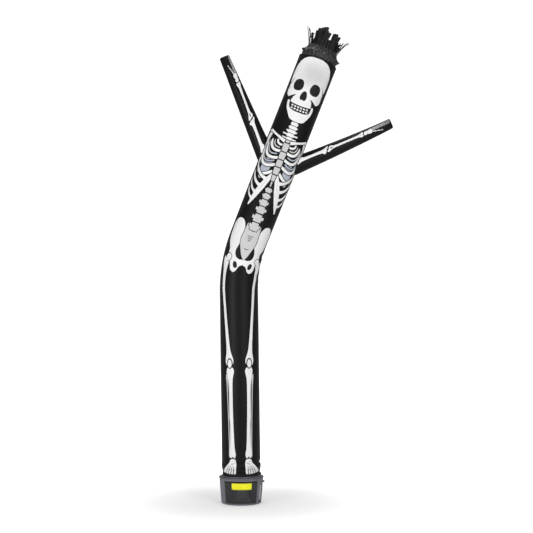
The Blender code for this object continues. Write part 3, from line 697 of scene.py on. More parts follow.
print("whole figure", len(figure), "outlines")

# %% [markdown]
# ## Cutting, printing and rolling up the tube
# The print has to be sharp at any distance, so it is in the cloth's own faces: the flat
# panel is triangulated with every outline as an edge, each triangle takes the ink of
# the last outline that covers it, and only then is the panel rolled round the tube's
# folds. Two round holes are left out for the arms. A Solidify modifier gives the cloth
# its thickness, so that it is a real sheet with an inside.

# %% Panel helpers
LONGEST_EDGE = 0.030
KEPT_CLEAR = 0.006


def linked(name, data):
    """An object of that name in the scene, at the origin."""
    piece = bpy.data.objects.new(name, data)
    bpy.context.collection.objects.link(piece)
    return piece


def written(work, mesh):
    """Puts a smooth-shaded bmesh into a mesh and frees it."""
    for face in work.faces:
        face.smooth = True
    work.to_mesh(mesh)
    work.free()
    return mesh


def near_lines(outlines, reach):
    """The cells of a grid that lie beside any outline, to keep other points out of them."""
    taken = set()
    for outline, _ in outlines:
        for (ax, ay), (bx, by) in zip(outline, outline[1:] + outline[:1]):
            steps = max(1, int(math.hypot(bx - ax, by - ay) / (reach * 0.7)))
            for step in range(steps + 1):
                x = ax + (bx - ax) * step / steps
                y = ay + (by - ay) * step / steps
                taken.add((round(x / reach), round(y / reach)))
    return taken


def split_long(outline, longest):
    """The outline counterclockwise, with its long edges divided."""
    twice = sum(ax * by - bx * ay for (ax, ay), (bx, by) in zip(outline, outline[1:] + outline[:1]))
    if twice < 0:
        outline = outline[::-1]
    points = []
    for (ax, ay), (bx, by) in zip(outline, outline[1:] + outline[:1]):
        parts = max(1, math.ceil(math.hypot(bx - ax, by - ay) / longest))
        points += [(ax + (bx - ax) * k / parts, ay + (by - ay) * k / parts) for k in range(parts)]
    return points


def printed_panel(name, rows, drawing, holes, roll):
    """A cloth panel: rows of (along, points across), with its drawing, holes and roll."""
    border = [(x, rows[0][0]) for x in rows[0][1]]
    border += [(row[1][-1], row[0]) for row in rows[1:]]
    border += [(x, rows[-1][0]) for x in reversed(rows[-1][1][:-1])]
    border += [(row[1][0], row[0]) for row in reversed(rows[1:-1])]
    outlines = [(split_long(outline, LONGEST_EDGE), colour) for outline, colour in drawing]
    outlines += [(split_long(hole, LONGEST_EDGE), -1) for hole in holes]
    taken = near_lines(outlines, KEPT_CLEAR)
    spots = list(border)
    faces = [list(range(len(border)))]
    for outline, colour in outlines:
        faces.append(list(range(len(spots), len(spots) + len(outline))))
        spots += outline
    for along, across in rows[1:-1]:
        for x in across[1:-1]:
            if (round(x / KEPT_CLEAR), round(along / KEPT_CLEAR)) not in taken:
                spots.append((x, along))
    colours = [BLACK] + [colour for _, colour in outlines]
    made = delaunay_2d_cdt([Vector(spot) for spot in spots], [], faces, 1, 1e-5, True)
    flat, triangles, sources = made[0], made[2], made[5]
    mesh = bpy.data.meshes.new(name)
    kept = [(corners, colours[max(source)]) for corners, source in zip(triangles, sources) if source]
    kept = [(corners, colour) for corners, colour in kept if colour >= 0]
    mesh.from_pydata([roll(spot.x, spot.y) for spot in flat], [], [corners for corners, _ in kept])
    for finish in INKS:
        mesh.materials.append(finish)
    mesh.polygons.foreach_set("material_index", [colour for _, colour in kept])
    chart = mesh.uv_layers.new(name="cut")
    for loop in mesh.loops:
        chart.data[loop.index].uv = flat[loop.vertex_index]
    return linked(name, mesh)


def finish_sheet(piece, thickness, merge=0.0002):
    """Closes the rolled seam, points the faces outwards and gives the cloth its thickness."""
    work = bmesh.new()
    work.from_mesh(piece.data)
    bmesh.ops.remove_doubles(work, verts=work.verts, dist=merge)
    loose = [spot for spot in work.verts if not spot.link_faces]
    bmesh.ops.delete(work, geom=loose, context="VERTS")
    bmesh.ops.recalc_face_normals(work, faces=work.faces)
    written(work, piece.data)
    if thickness:
        solid = piece.modifiers.new("thickness", "SOLIDIFY")
        solid.thickness = thickness
        solid.offset = -1
    return piece


print("panel helpers ready")

# %% The tube
SPOT_STEP = 0.0203
FINE_STEP = 0.0068
ARM_ZONE = 0.26


def arm_cross(lean):
    return TORSO_LEAN - math.radians(lean)


def hole_on_cut(lean, radius, count=36):
    """A round hole about an arm's axis, in the measures of the flat tube."""
    cross = arm_cross(lean)
    points = []
    for number in range(count):
        turn = 2 * math.pi * number / count
        x = radius * math.sin(turn)
        forward = -radius * math.cos(turn)
        side = -math.copysign(math.sqrt(HEAD_RADIUS ** 2 - forward ** 2), cross)
        height = (x * math.cos(cross) - side) / math.sin(cross)
        along = TUBE_LENGTH - ARM_CROSSING + x * math.sin(cross) + height * math.cos(cross)
        points.append((math.atan2(side, -forward) * TUBE_RADIUS, along))
    return points


ARMS = [
    # name, lean from upright, sideways bend of the hand, offset of its print at root and tip
    ("arm_left", -22.3, 0.0, (-0.002, 0.050)),
    ("arm_right", 66.8, -0.022, (-0.030, -0.016)),
]
ARM_HOLE = 0.084


def tube_rows():
    """Rows of points of the flat tube: close together only where it is creased."""
    rows = []
    along = 0.0
    while along < PANEL_LENGTH - 0.001:
        near_arm = min(abs(along - at) for at in ARM_LEVELS)
        if along < 0.25:
            step, wide = 0.0075, FINE_STEP
        elif along > SHOULDER - 0.07:
            step, wide = 0.0055, FINE_STEP
        elif near_arm < ARM_ZONE:
            step, wide = 0.012, 0.0122
        elif 2.1 < along < 2.95:
            step, wide = 0.018, SPOT_STEP
        else:
            step, wide = 0.036, SPOT_STEP
        count = 2 * round(HALF_CUT / wide)
        rows.append((along, [-HALF_CUT + 2 * HALF_CUT * k / count for k in range(count + 1)]))
        along += step
    count = 2 * round(HALF_CUT / FINE_STEP)
    rows.append((PANEL_LENGTH, [-HALF_CUT + 2 * HALF_CUT * k / count for k in range(count + 1)]))
    return rows


holes = [hole_on_cut(lean, ARM_HOLE) for _, lean, _, _ in ARMS]
ARM_LEVELS = [sum(y for _, y in hole) / len(hole) for hole in holes]
PRINT_ASIDE = 0.022


def aside(y):
    """The print sits a little towards +X on the trunk, and centred on the head and leg."""
    return PRINT_ASIDE * min(1, max(0, (y - 0.60) / 0.20), max(0, (2.95 - y) / 0.25))


drawing = [([(x + aside(y), TUBE_LENGTH - y) for x, y in outline], colour) for outline, colour in figure]
tube = printed_panel("dancer_tube", tube_rows(), drawing, holes, on_tube)
finish_sheet(tube, CLOTH)
print("tube faces", len(tube.data.polygons))

# %% [markdown]
# ## Sleeves
# Each arm is a tapered sleeve sewn over a hole in the tube. It is round where the air
# fills it and flat at the closed end, which is a plain seam. Arm bones are printed on
# it in the same way: an upper arm, a forearm bone, a wrist in two blocks, and a hand
# with a white thumb and grey fingers. The fingers' grey is painted shade on white
# fingers that lie on the sleeve's shaded side. The print's place across the sleeve
# shifts evenly from the root to the tip.

# %% Sizes of a sleeve
ARM_REACH = 1.580
ARM_ROOT_RADIUS = 0.104
ARM_TIP_RADIUS = 0.0615
ARM_TIP_CORNER = 0.022
ARM_FLAT_FROM = 0.80
ARM_SEAM_HALF = 0.0018
ARM_CUT = 1.240
ARM_MIDDLE, _ = tube_axis(TUBE_LENGTH - ARM_CROSSING)


def arm_radius(share):
    """Half width of a sleeve: it tapers, and the corners of its closed end are round."""
    into_corner = max(0, ARM_TIP_CORNER - (1 - share) * ARM_REACH)
    cut_off = ARM_TIP_CORNER - math.sqrt(max(0, ARM_TIP_CORNER ** 2 - into_corner ** 2))
    return ARM_ROOT_RADIUS + share * (ARM_TIP_RADIUS - ARM_ROOT_RADIUS) - cut_off


def sleeve(lean, lift):
    """How the flat sleeve, across and along from its root, lies round an arm's axis."""
    cross = arm_cross(lean)
    tilt = math.radians(lean)
    side = Vector((math.cos(tilt), 0, -math.sin(tilt)))
    up = Vector((math.sin(tilt), 0, math.cos(tilt)))

    def roll(across, along):
        share = min(1, along / ARM_CUT)
        radius = arm_radius(share)
        angle = across / radius
        flat = min(1, max(0, (share - ARM_FLAT_FROM) / (1 - ARM_FLAT_FROM)))
        uneven = noise.noise(Vector((math.sin(angle), math.cos(angle), share * 5 + lean)))
        crease = math.cos(9 * angle + 3 * uneven) * math.exp(-share / 0.035)
        crease += 1.6 * uneven * math.exp(-((share - 0.86) / 0.09) ** 2)
        crease += 0.5 * noise.noise(Vector((angle * 1.5, share * 9, lean)))
        out = radius + 0.0016 * crease * (1 - flat ** 4)
        depth = out + (ARM_SEAM_HALF - out) * flat ** 2.2
        sewn = 1 - eased((share - 0.99) / 0.01)
        x = out * math.sin(angle)
        forward = -depth * math.cos(angle) * sewn
        reach = math.copysign(math.sqrt(HEAD_RADIUS ** 2 - min(HEAD_RADIUS, abs(forward)) ** 2), cross)
        root = (x * math.cos(cross) + reach) / math.sin(cross)
        sway = 0.004 * flat * math.sin(angle * 2) * uneven * sewn
        place = ARM_MIDDLE + side * (x + lift * share ** 3) + up * (root + (ARM_REACH - root) * share)
        place += Vector((0, forward + sway, 0))
        if share < 0.02:
            seated = tube_place(place)
            seated = on_tube(seated[0], seated[1], CLOTH)
            place = seated.lerp(place, share / 0.02)
        return place

    return roll


def tube_place(place):
    """Across and along on the flat torso, under a place on its surface."""
    down = place - tube_axis(TUBE_LENGTH)[0]
    rise = down.x * math.sin(TORSO_LEAN) + down.z * math.cos(TORSO_LEAN)
    side = down.x * math.cos(TORSO_LEAN) - down.z * math.sin(TORSO_LEAN)
    return math.atan2(side, -down.y) * TUBE_RADIUS, TUBE_LENGTH + rise


# %% Bones of an arm
ELBOW = 0.388
WRIST = 0.860
# The fingers take the painted-shade grey ink, and the thumb stays white.
HAND = [
    # start across, end across, end along, half width, ink
    (0.014, 0.050, 1.110, 0.0055, WHITE),
    (0.002, 0.000, 1.214, 0.0062, FINGER_SHADE),
    (-0.008, -0.014, 1.228, 0.0064, FINGER_SHADE),
    (-0.018, -0.028, 1.228, 0.0064, FINGER_SHADE),
    (-0.028, -0.042, 1.218, 0.0060, FINGER_SHADE),
]
WRIST_BLOCKS = [
    # start, end, half widths
    (0.010, 0.050, 0.018, 0.021),
    (0.057, 0.112, 0.020, 0.027),
]


def arm_bones(offset, toward):
    """An arm's print: its offset from the sleeve's front line and the thumb's side."""
    bones = []

    def add(outline, colour=WHITE):
        drift = (offset[1] - offset[0]) / ARM_CUT
        bones.append(([(offset[0] + drift * y + toward * x, y) for x, y in outline], colour))

    add(long_bone((0.0, 0.010), (0.0, ELBOW - 0.006), 0.034, 0.070, 0.086))
    add(long_bone((0.0, ELBOW + 0.006), (0.0, WRIST), 0.026, 0.070, 0.058))
    add(ellipse(0.0, ELBOW + 0.050, 0.006, 0.022, 0, 12), BLACK)
    add(ellipse(0.0, WRIST - 0.030, 0.004, 0.012, 0, 10), GREY)
    for start, end, wide, wider in WRIST_BLOCKS:
        low, high = WRIST + start, WRIST + end
        add(smooth_outline([(-wide, low), (wide, low), (wider, high), (-wider, high)], 2))
    for start, end, tip, half, shade in HAND:
        first = WRIST + 0.118
        knuckle = first + 0.42 * (tip - first)
        middle = start + 0.42 * (end - start)
        last = middle + 0.62 * (end - middle)
        joint = knuckle + 0.60 * (tip - knuckle)
        for a, b, wide in (((start, first), (middle, knuckle - 0.003), half),
                           ((middle, knuckle + 0.003), (last, joint - 0.003), half * 0.92),
                           ((last, joint + 0.003), (end, tip), half * 0.82)):
            halfway = ((a[0] + b[0]) / 2, (a[1] + b[1]) / 2)
            add(band([a, halfway, b], (wide, wide * 0.8, wide * 0.9)), shade)
    return bones


def arm_rows():
    rows = []
    shares = [0, 0.006, 0.013, 0.02] + [0.03 + 0.955 * k / 85 for k in range(86)]
    for share in shares + [0.988, 0.991, 0.994, 0.997, 1]:
        radius = arm_radius(share)
        count = 72 if share < 0.1 or share > 0.75 else 40
        half = math.pi * radius
        rows.append((share * ARM_CUT, [-half + 2 * half * k / count for k in range(count + 1)]))
    return rows


arms = []
for name, lean, lift, offset in ARMS:
    bones = arm_bones(offset, 1 if lean > 0 else -1)
    arm = printed_panel("dancer_" + name, arm_rows(), bones, [], sleeve(lean, lift))
    finish_sheet(arm, CLOTH)
    arms.append(arm)
    print(arm.name, "faces", len(arm.data.polygons))

# %% [markdown]
# ## The gathered cuff
# Round the vent a strip of dark grey nylon is gathered into a cuff with many small
# pleats. It bulges most at the two sides, and a little in four places between them. The
# pleats are waves of two sizes, and noise moves them so that no two are alike.

# %% The cuff
HEAD_MIDDLE, HEAD_LEAN = tube_axis(TUBE_LENGTH)
CUFF_PROFILE = [
    # height above the head end, radius
    (0.0003, 0.2120), (0.016, 0.2155), (0.034, 0.2180), (0.054, 0.2200), (0.068, 0.2180),
    (0.082, 0.2110), (0.108, 0.1975), (0.132, 0.1905), (0.150, 0.1870),
]
CUFF_CLOTH = 0.0015
CUFF_LUMPS = [
    # angle, height, out, half angle, half height
    (-90, 0.081, 0.029, 13, 0.015),
    (90, 0.067, 0.033, 13, 0.017),
    (-20, 0.074, 0.010, 22, 0.022),
    (36, 0.060, 0.012, 20, 0.020),
    (150, 0.068, 0.013, 26, 0.022),
    (-150, 0.072, 0.012, 24, 0.022),
]
CUFF_SIDES = 208
CUFF_ROWS = 44
grey_nylon = cloth_material("grey_nylon", (0.024, 0.024, 0.026), 0.40, change=0.8, grid=0.005, specular=0.5)


def on_head(x, y, z):
    """A place of the leaning head, from one given as if it stood upright at the origin."""
    side = Vector((math.cos(HEAD_LEAN), 0, -math.sin(HEAD_LEAN)))
    up = Vector((math.sin(HEAD_LEAN), 0, math.cos(HEAD_LEAN)))
    return HEAD_MIDDLE + side * x + up * z + Vector((0, y, 0))


def between(profile, height):
    for (low, first), (high, last) in zip(profile, profile[1:]):
        if height <= high:
            return first + (last - first) * (height - low) / (high - low)
    return profile[-1][1]


def cuff_place(share, angle):
    height = CUFF_PROFILE[0][0] + share * (CUFF_PROFILE[-1][0] - CUFF_PROFILE[0][0])
    free = math.sin(math.pi * min(1, share * 1.08)) ** 0.7
    out = between(CUFF_PROFILE, height)
    for turn, middle, far, half_angle, half_height in CUFF_LUMPS:
        beside = (math.degrees(angle) - turn + 180) % 360 - 180
        out += far * math.exp(-(beside / half_angle) ** 2 - ((height - middle) / half_height) ** 2)
    spot = Vector((math.sin(angle) * 2.4, math.cos(angle) * 2.4, height * 16))
    uneven = noise.noise(spot)
    out += free * 0.0062 * math.cos(29 * angle + 6 * uneven)
    out += free * 0.0034 * math.cos(53 * angle - 7 * uneven + height * 70)
    out += free * 0.0060 * noise.noise(spot * 2.6)
    height += free * 0.0045 * noise.noise(spot * 1.7 + Vector((7, 3, 1)))
    return on_head(out * math.sin(angle), -out * math.cos(angle), height)


def ring_sheet(name, place, rows, sides, finish, thickness, flat):
    """A closed band of cloth or plastic: rows of points round it, with a UV map in metres."""
    mesh = bpy.data.meshes.new(name)
    spots = []
    faces = []
    for row in range(rows):
        for side in range(sides):
            spots.append(place(row / (rows - 1), 2 * math.pi * side / sides))
    for row in range(rows - 1):
        for side in range(sides):
            beside = (side + 1) % sides
            low = row * sides
            faces.append((low + side, low + beside, low + sides + beside, low + sides + side))
    mesh.from_pydata(spots, [], faces)
    chart = mesh.uv_layers.new(name="cut")
    for face in mesh.polygons:
        row, side = divmod(face.index, sides)
        corners = ((side, row), (side + 1, row), (side + 1, row + 1), (side, row + 1))
        for loop, (x, y) in zip(face.loop_indices, corners):
            chart.data[loop].uv = (x / sides * flat[0], y / (rows - 1) * flat[1])
    mesh.materials.append(finish)
    return finish_sheet(linked(name, mesh), thickness)


CUFF_FLAT = (1.62, 0.19)
cuff = ring_sheet("dancer_cuff", cuff_place, CUFF_ROWS, CUFF_SIDES, grey_nylon, CUFF_CLOTH, CUFF_FLAT)
print("cuff faces", len(cuff.data.polygons))

# %% [markdown]
# ## Ribbon hair
# The hair is two strips of thin nylon, each cut into ribbons almost to its root. One is
# sewn inside the cuff's upper edge and the other to the crown, round the vent. A Geometry
# Nodes tree repeats one short grid of faces round a circle, and its nodes give every
# ribbon its own length, lean, twist and wave from a fixed seed. The ends follow a curve
# of heights across the head, and the ribbons at the two sides are slimmer. The tree is a
# modifier on an empty mesh only until its result is copied into a plain mesh.

# %% Helpers for node trees
def new_tree(name, inputs):
    """An empty geometry tree, with its named inputs as (name, kind, value)."""
    tree = bpy.data.node_groups.new(name, "GeometryNodeTree")
    tree.interface.new_socket(name="Geometry", in_out="INPUT", socket_type="NodeSocketGeometry")
    tree.interface.new_socket(name="Geometry", in_out="OUTPUT", socket_type="NodeSocketGeometry")
    for title, kind, value in inputs:
        socket = tree.interface.new_socket(name=title, in_out="INPUT", socket_type="NodeSocket" + kind)
        if value is not None:
            socket.default_value = value
    return tree, tree.nodes.new("NodeGroupInput"), tree.nodes.new("NodeGroupOutput")


def feed(tree, socket, value):
    if isinstance(value, bpy.types.NodeSocket):
        tree.links.new(value, socket)
    else:
        socket.default_value = value


def calc(tree, operation, *values):
    node = tree.nodes.new("ShaderNodeMath")
    node.operation = operation
    for socket, value in zip(node.inputs, values):
        feed(tree, socket, value)
    return node.outputs[0]


def made_by(tree, kind, output=0, **inputs):
    """A node of that kind with its inputs fed, and one of its outputs."""
    node = tree.nodes.new(kind)
    for title, value in inputs.items():
        feed(tree, node.inputs[title.replace("_", " ")], value)
    return node, node.outputs[output]


def vector_of(tree, x, y, z):
    return made_by(tree, "ShaderNodeCombineXYZ", X=x, Y=y, Z=z)[1]


def keep_value(tree, geometry, title, value, domain="POINT", kind="FLOAT"):
    """Stores a value under a name, so that it can be read again after the copies are real."""
    node = tree.nodes.new("GeometryNodeStoreNamedAttribute")
    node.domain = domain
    node.data_type = kind
    feed(tree, node.inputs["Geometry"], geometry)
    node.inputs["Name"].default_value = title
    feed(tree, node.inputs["Value"], value)
    return node.outputs["Geometry"]


def kept_value(tree, title, kind="FLOAT"):
    node = tree.nodes.new("GeometryNodeInputNamedAttribute")
    node.data_type = kind
    node.inputs["Name"].default_value = title
    return node.outputs["Attribute"]


def random_value(tree, low, high, seed):
    node = tree.nodes.new("FunctionNodeRandomValue")
    node.data_type = "FLOAT"
    sockets = {socket.identifier: socket for socket in node.inputs}
    sockets["Min_001"].default_value = low
    sockets["Max_001"].default_value = high
    feed(tree, sockets["Seed"], seed)
    return [socket for socket in node.outputs if socket.identifier == "Value_001"][0]


def grown(name, tree, values, base=None):
    """Runs a tree as a modifier, with its inputs set, and copies its result to a plain mesh."""
    holder = linked(name + "_tree", base or bpy.data.meshes.new(name + "_base"))
    modifier = holder.modifiers.new("tree", "NODES")
    modifier.node_group = tree
    for socket in tree.interface.items_tree:
        if socket.in_out == "INPUT" and socket.name in values:
            modifier[socket.identifier] = values[socket.name]
    shown = holder.evaluated_get(bpy.context.evaluated_depsgraph_get())
    mesh = bpy.data.meshes.new_from_object(shown)
    mesh.name = name
    bpy.data.objects.remove(holder)
    mesh.materials.clear()
    mesh.materials.append(values["Finish"])
    mesh.polygons.foreach_set("material_index", [0] * len(mesh.polygons))
    return linked(name, mesh)


print("tree helpers ready")

# %% The tree of the hair
HAIR_REACH = 0.190
HAIR_TOPS = [
    # place across the head, height of the ribbons' ends over the head end
    (-0.190, 0.420),
    (-0.165, 0.290),
    (-0.136, 0.310),
    (-0.115, 0.345),
    (-0.092, 0.390),
    (-0.027, 0.400),
    (0.015, 0.330),
    (0.050, 0.235),
    (0.062, 0.290),
    (0.075, 0.365),
    (0.135, 0.373),
    (0.150, 0.320),
    (0.168, 0.270),
    (0.190, 0.410),
]


def hair_tree():
    tree, given, result = new_tree("ribbon_hair", [
        ("Ribbons", "Int", 18), ("Radius", "Float", 0.18), ("Foot", "Float", 0.13),
        ("Width", "Float", 0.05), ("Lean", "Float", 0.2), ("Lean inside", "Float", 0.0),
        ("Seed", "Int", 1), ("Finish", "Material", None),
    ])
    value = given.outputs
    _, ring = made_by(tree, "GeometryNodeMeshCircle", Vertices=value["Ribbons"], Radius=1.0)
    index = tree.nodes.new("GeometryNodeInputIndex").outputs[0]
    sector = calc(tree, "DIVIDE", 2 * math.pi, value["Ribbons"])
    stray = random_value(tree, -0.07, 0.07, value["Seed"])
    turn = calc(tree, "ADD", calc(tree, "MULTIPLY", index, sector), stray)
    across = calc(tree, "MULTIPLY", calc(tree, "SINE", turn), value["Radius"])
    tops = tree.nodes.new("ShaderNodeFloatCurve")
    curve = tops.mapping.curves[0]
    for place, height in HAIR_TOPS[1:-1]:
        curve.points.new((place + HAIR_REACH) / (2 * HAIR_REACH), height)
    curve.points[0].location = (0.0, HAIR_TOPS[0][1])
    curve.points[-1].location = (1.0, HAIR_TOPS[-1][1])
    for point in curve.points:
        point.handle_type = "VECTOR"
    tops.mapping.update()
    feed(tree, tops.inputs["Value"], calc(tree, "MULTIPLY_ADD", across, 0.5 / HAIR_REACH, 0.5))
    uneven = random_value(tree, 0.93, 1.0, calc(tree, "ADD", value["Seed"], 1))
    long = calc(tree, "SUBTRACT", calc(tree, "MULTIPLY", tops.outputs[0], uneven), value["Foot"])
    sideways = calc(tree, "POWER", calc(tree, "ABSOLUTE", calc(tree, "SINE", turn)), 8.0)
    lean = calc(tree, "ADD", calc(tree, "MULTIPLY", value["Lean"], sideways), value["Lean inside"])
    lean = calc(tree, "ADD", lean, random_value(tree, -0.05, 0.07, calc(tree, "ADD", value["Seed"], 2)))
    layer = calc(tree, "MULTIPLY", calc(tree, "MODULO", index, 2.0), -0.004)
    values = {
        "turn": turn,
        "long": long,
        "lean": lean,
        "root": calc(tree, "ADD", value["Radius"], layer),
        "slim": calc(tree, "MULTIPLY_ADD", sideways, -0.62, 1.0),
        "twist": random_value(tree, -0.9, 0.9, calc(tree, "ADD", value["Seed"], 3)),
        "wave": random_value(tree, 0.0, 6.28, calc(tree, "ADD", value["Seed"], 4)),
    }
    points = ring
    for title, part in values.items():
        points = keep_value(tree, points, title, part)
    grid, strip = made_by(tree, "GeometryNodeMeshGrid", Size_X=1.0, Size_Y=1.0, Vertices_X=3, Vertices_Y=9)
    strip = keep_value(tree, strip, "cut", grid.outputs["UV Map"], "CORNER", "FLOAT2")
    copies = tree.nodes.new("GeometryNodeInstanceOnPoints")
    feed(tree, copies.inputs["Points"], points)
    feed(tree, copies.inputs["Instance"], strip)
    _, real = made_by(tree, "GeometryNodeRealizeInstances", Geometry=copies.outputs[0])
    cut = made_by(tree, "ShaderNodeSeparateXYZ", Vector=kept_value(tree, "cut", "FLOAT_VECTOR"))[0]
    share = cut.outputs["Y"]
    wave = kept_value(tree, "wave")
    turn = kept_value(tree, "turn")
    long = calc(tree, "MULTIPLY", kept_value(tree, "long"), share)
    curl = calc(tree, "MULTIPLY", kept_value(tree, "lean"), calc(tree, "MULTIPLY_ADD", share, 0.5, 0.5))
    narrow = calc(tree, "MULTIPLY_ADD", share, -0.08, 1.0)
    width = calc(tree, "MULTIPLY", calc(tree, "MULTIPLY", value["Width"], narrow), kept_value(tree, "slim"))
    width = calc(tree, "MULTIPLY", width, calc(tree, "SUBTRACT", cut.outputs["X"], 0.5))
    phase = calc(tree, "MULTIPLY_ADD", share, 5.5, wave)
    sway = calc(tree, "MULTIPLY", calc(tree, "MULTIPLY", calc(tree, "SINE", phase), share), 0.010)
    bow = calc(tree, "MULTIPLY", calc(tree, "MULTIPLY", calc(tree, "COSINE", phase), share), 0.008)
    twist = calc(tree, "MULTIPLY", kept_value(tree, "twist"), share)
    out = calc(tree, "MULTIPLY_ADD", long, calc(tree, "SINE", curl), kept_value(tree, "root"))
    out = calc(tree, "ADD", out, bow)
    out = calc(tree, "ADD", out, calc(tree, "MULTIPLY", width, calc(tree, "SINE", twist)))
    sidelong = calc(tree, "MULTIPLY_ADD", width, calc(tree, "COSINE", twist), sway)
    high = calc(tree, "MULTIPLY_ADD", long, calc(tree, "COSINE", curl), value["Foot"])
    sine, cosine = calc(tree, "SINE", turn), calc(tree, "COSINE", turn)
    x = calc(tree, "MULTIPLY_ADD", out, sine, calc(tree, "MULTIPLY", sidelong, cosine))
    y = calc(tree, "SUBTRACT", calc(tree, "MULTIPLY", sidelong, sine), calc(tree, "MULTIPLY", out, cosine))
    placed = made_by(tree, "GeometryNodeSetPosition", Geometry=real, Position=vector_of(tree, x, y, high))[1]
    _, dressed = made_by(tree, "GeometryNodeSetMaterial", Geometry=placed, Material=value["Finish"])
    feed(tree, result.inputs[0], dressed)
    return tree


ribbon_nylon = cloth_material("ribbon_nylon", (0.020, 0.020, 0.021), 0.42, change=0.5, grid=0.05)
HAIR_RINGS = [
    # name, ribbons, radius, foot, width, lean, lean inside, seed, band from, band to
    ("hair_outer", 52, 0.1840, 0.131, 0.042, 0.36, 0.00, 4, 0.128, 0.150),
    ("hair_inner", 34, 0.1400, 0.030, 0.044, 0.02, -0.05, 9, 0.002, 0.040),
]
FRINGE_CLOTH = 0.0010
ribbons = hair_tree()
hair = []
for name, count, radius, foot, width, lean, inside, seed, low, high in HAIR_RINGS:
    piece = grown("dancer_" + name, ribbons, {
        "Ribbons": count, "Radius": radius, "Foot": foot, "Width": width, "Lean": lean,
        "Lean inside": inside, "Seed": seed, "Finish": ribbon_nylon})
    rim = ring_sheet(name + "_band", lambda share, angle: Vector((
        radius * math.sin(angle), -radius * math.cos(angle), low + (high - low) * share)),
        3, 96, ribbon_nylon, 0, (2 * math.pi * radius, high - low))
    work = bmesh.new()
    work.from_mesh(piece.data)
    work.from_mesh(rim.data)
    for spot in work.verts:
        spot.co = on_head(*spot.co)
    written(work, piece.data)
    bpy.data.objects.remove(rim)
    thick = piece.modifiers.new("thickness", "SOLIDIFY")
    thick.thickness = FRINGE_CLOTH
    thick.offset = 0
    hair.append(piece)
    print(piece.name, "faces", len(piece.data.polygons))

# %% [markdown]
# ## Seams
# Seams hold an air dancer together, and a close view shows them as rows of stitches in
# black thread. One tree puts a short rounded stitch on every step of a line, turned to
# lie along it. The lines themselves are plain chains of edges on the cloth: two beside
# the tube's back seam, two at the hem, one under the crown, two round each arm's root,
# one down each arm's back, and one round the cuff's foot.

# %% Stitch rows
STITCH_STEP = 0.009
STITCH_LENGTH = 0.0062
STITCH_RADIUS = 0.0007
BACK_SEAM_ASIDE = 0.007
HEM_SEAMS = (0.034, 0.040)
CROWN_SEAM = SHOULDER - 0.010


def stitch_tree():
    tree, given, result = new_tree("stitch_row", [
        ("Step", "Float", 0.009), ("Stitch", "Float", 0.006), ("Thread", "Float", 0.0007),
        ("Finish", "Material", None),
    ])
    value = given.outputs
    _, lines = made_by(tree, "GeometryNodeMeshToCurve", Mesh=value["Geometry"])
    resample = tree.nodes.new("GeometryNodeResampleCurve")
    resample.mode = "LENGTH"
    feed(tree, resample.inputs["Curve"], lines)
    feed(tree, resample.inputs["Length"], value["Step"])
    _, stitch = made_by(tree, "GeometryNodeMeshUVSphere", Segments=6, Rings=4, Radius=1.0)
    thin = vector_of(tree, value["Thread"], value["Thread"], calc(tree, "MULTIPLY", value["Stitch"], 0.5))
    tangent = tree.nodes.new("GeometryNodeInputTangent").outputs[0]
    turned = tree.nodes.new("FunctionNodeAlignRotationToVector")
    turned.axis = "Z"
    feed(tree, turned.inputs["Vector"], tangent)
    copies = tree.nodes.new("GeometryNodeInstanceOnPoints")
    feed(tree, copies.inputs["Points"], resample.outputs[0])
    feed(tree, copies.inputs["Instance"], stitch)
    feed(tree, copies.inputs["Rotation"], turned.outputs[0])
    feed(tree, copies.inputs["Scale"], thin)
    _, real = made_by(tree, "GeometryNodeRealizeInstances", Geometry=copies.outputs[0])
    _, dressed = made_by(tree, "GeometryNodeSetMaterial", Geometry=real, Material=value["Finish"])
    feed(tree, result.inputs[0], dressed)
    return tree


def chain(points, closed=False):
    """Edges through a row of points, as one line."""
    edges = [(number, number + 1) for number in range(len(points) - 1)]
    return points, edges + [(len(points) - 1, 0)] * closed


def round_tube(along, lift):
    return [on_tube(-HALF_CUT + 2 * HALF_CUT * k / 240, along, lift) for k in range(240)]


lines = []
for across in (-HALF_CUT + BACK_SEAM_ASIDE, HALF_CUT - BACK_SEAM_ASIDE):
    steps = int((SHOULDER - 0.05) / 0.02)
    lines.append(chain([on_tube(across, 0.045 + 0.02 * k, STITCH_RADIUS) for k in range(steps)]))
for along in (*HEM_SEAMS, CROWN_SEAM):
    lines.append(chain(round_tube(along, STITCH_RADIUS), True))
for name, lean, lift, _ in ARMS:
    roll = sleeve(lean, lift)
    for along in (0.030, 0.036):
        radius = arm_radius(along / ARM_CUT) + 0.0006
        lines.append(chain([roll(radius * 2 * math.pi * k / 120, along) for k in range(120)], True))
    seam = []
    for step in range(60):
        along = 0.045 + step * (ARM_CUT * 0.99 - 0.045) / 59
        seam.append(roll(math.pi * arm_radius(along / ARM_CUT) - 0.005, along) + Vector((0, 0.0006, 0)))
    lines.append(chain(seam))
lines.append(chain([cuff_place(0.035, 2 * math.pi * k / 200) for k in range(200)], True))
spots = []
edges = []
for points, links in lines:
    edges += [(start + len(spots), end + len(spots)) for start, end in links]
    spots += points
seam_lines = bpy.data.meshes.new("seam_lines")
seam_lines.from_pydata(spots, edges, [])
black_thread, _, _ = new_material("black_thread", (0.018, 0.018, 0.019), 0.5)
stitches = grown("dancer_stitches", stitch_tree(), {
    "Step": STITCH_STEP, "Stitch": STITCH_LENGTH, "Thread": STITCH_RADIUS,
    "Finish": black_thread}, seam_lines)
print("stitch faces", len(stitches.data.polygons))

# %% [markdown]
# ## Strap and locks
# A webbing strap draws the hem round the blower's neck, and a plastic lock at each side
# sits on it. The webbing's weave is a fine bump, and each lock is a block with soft
# edges and a raised frame on its face.

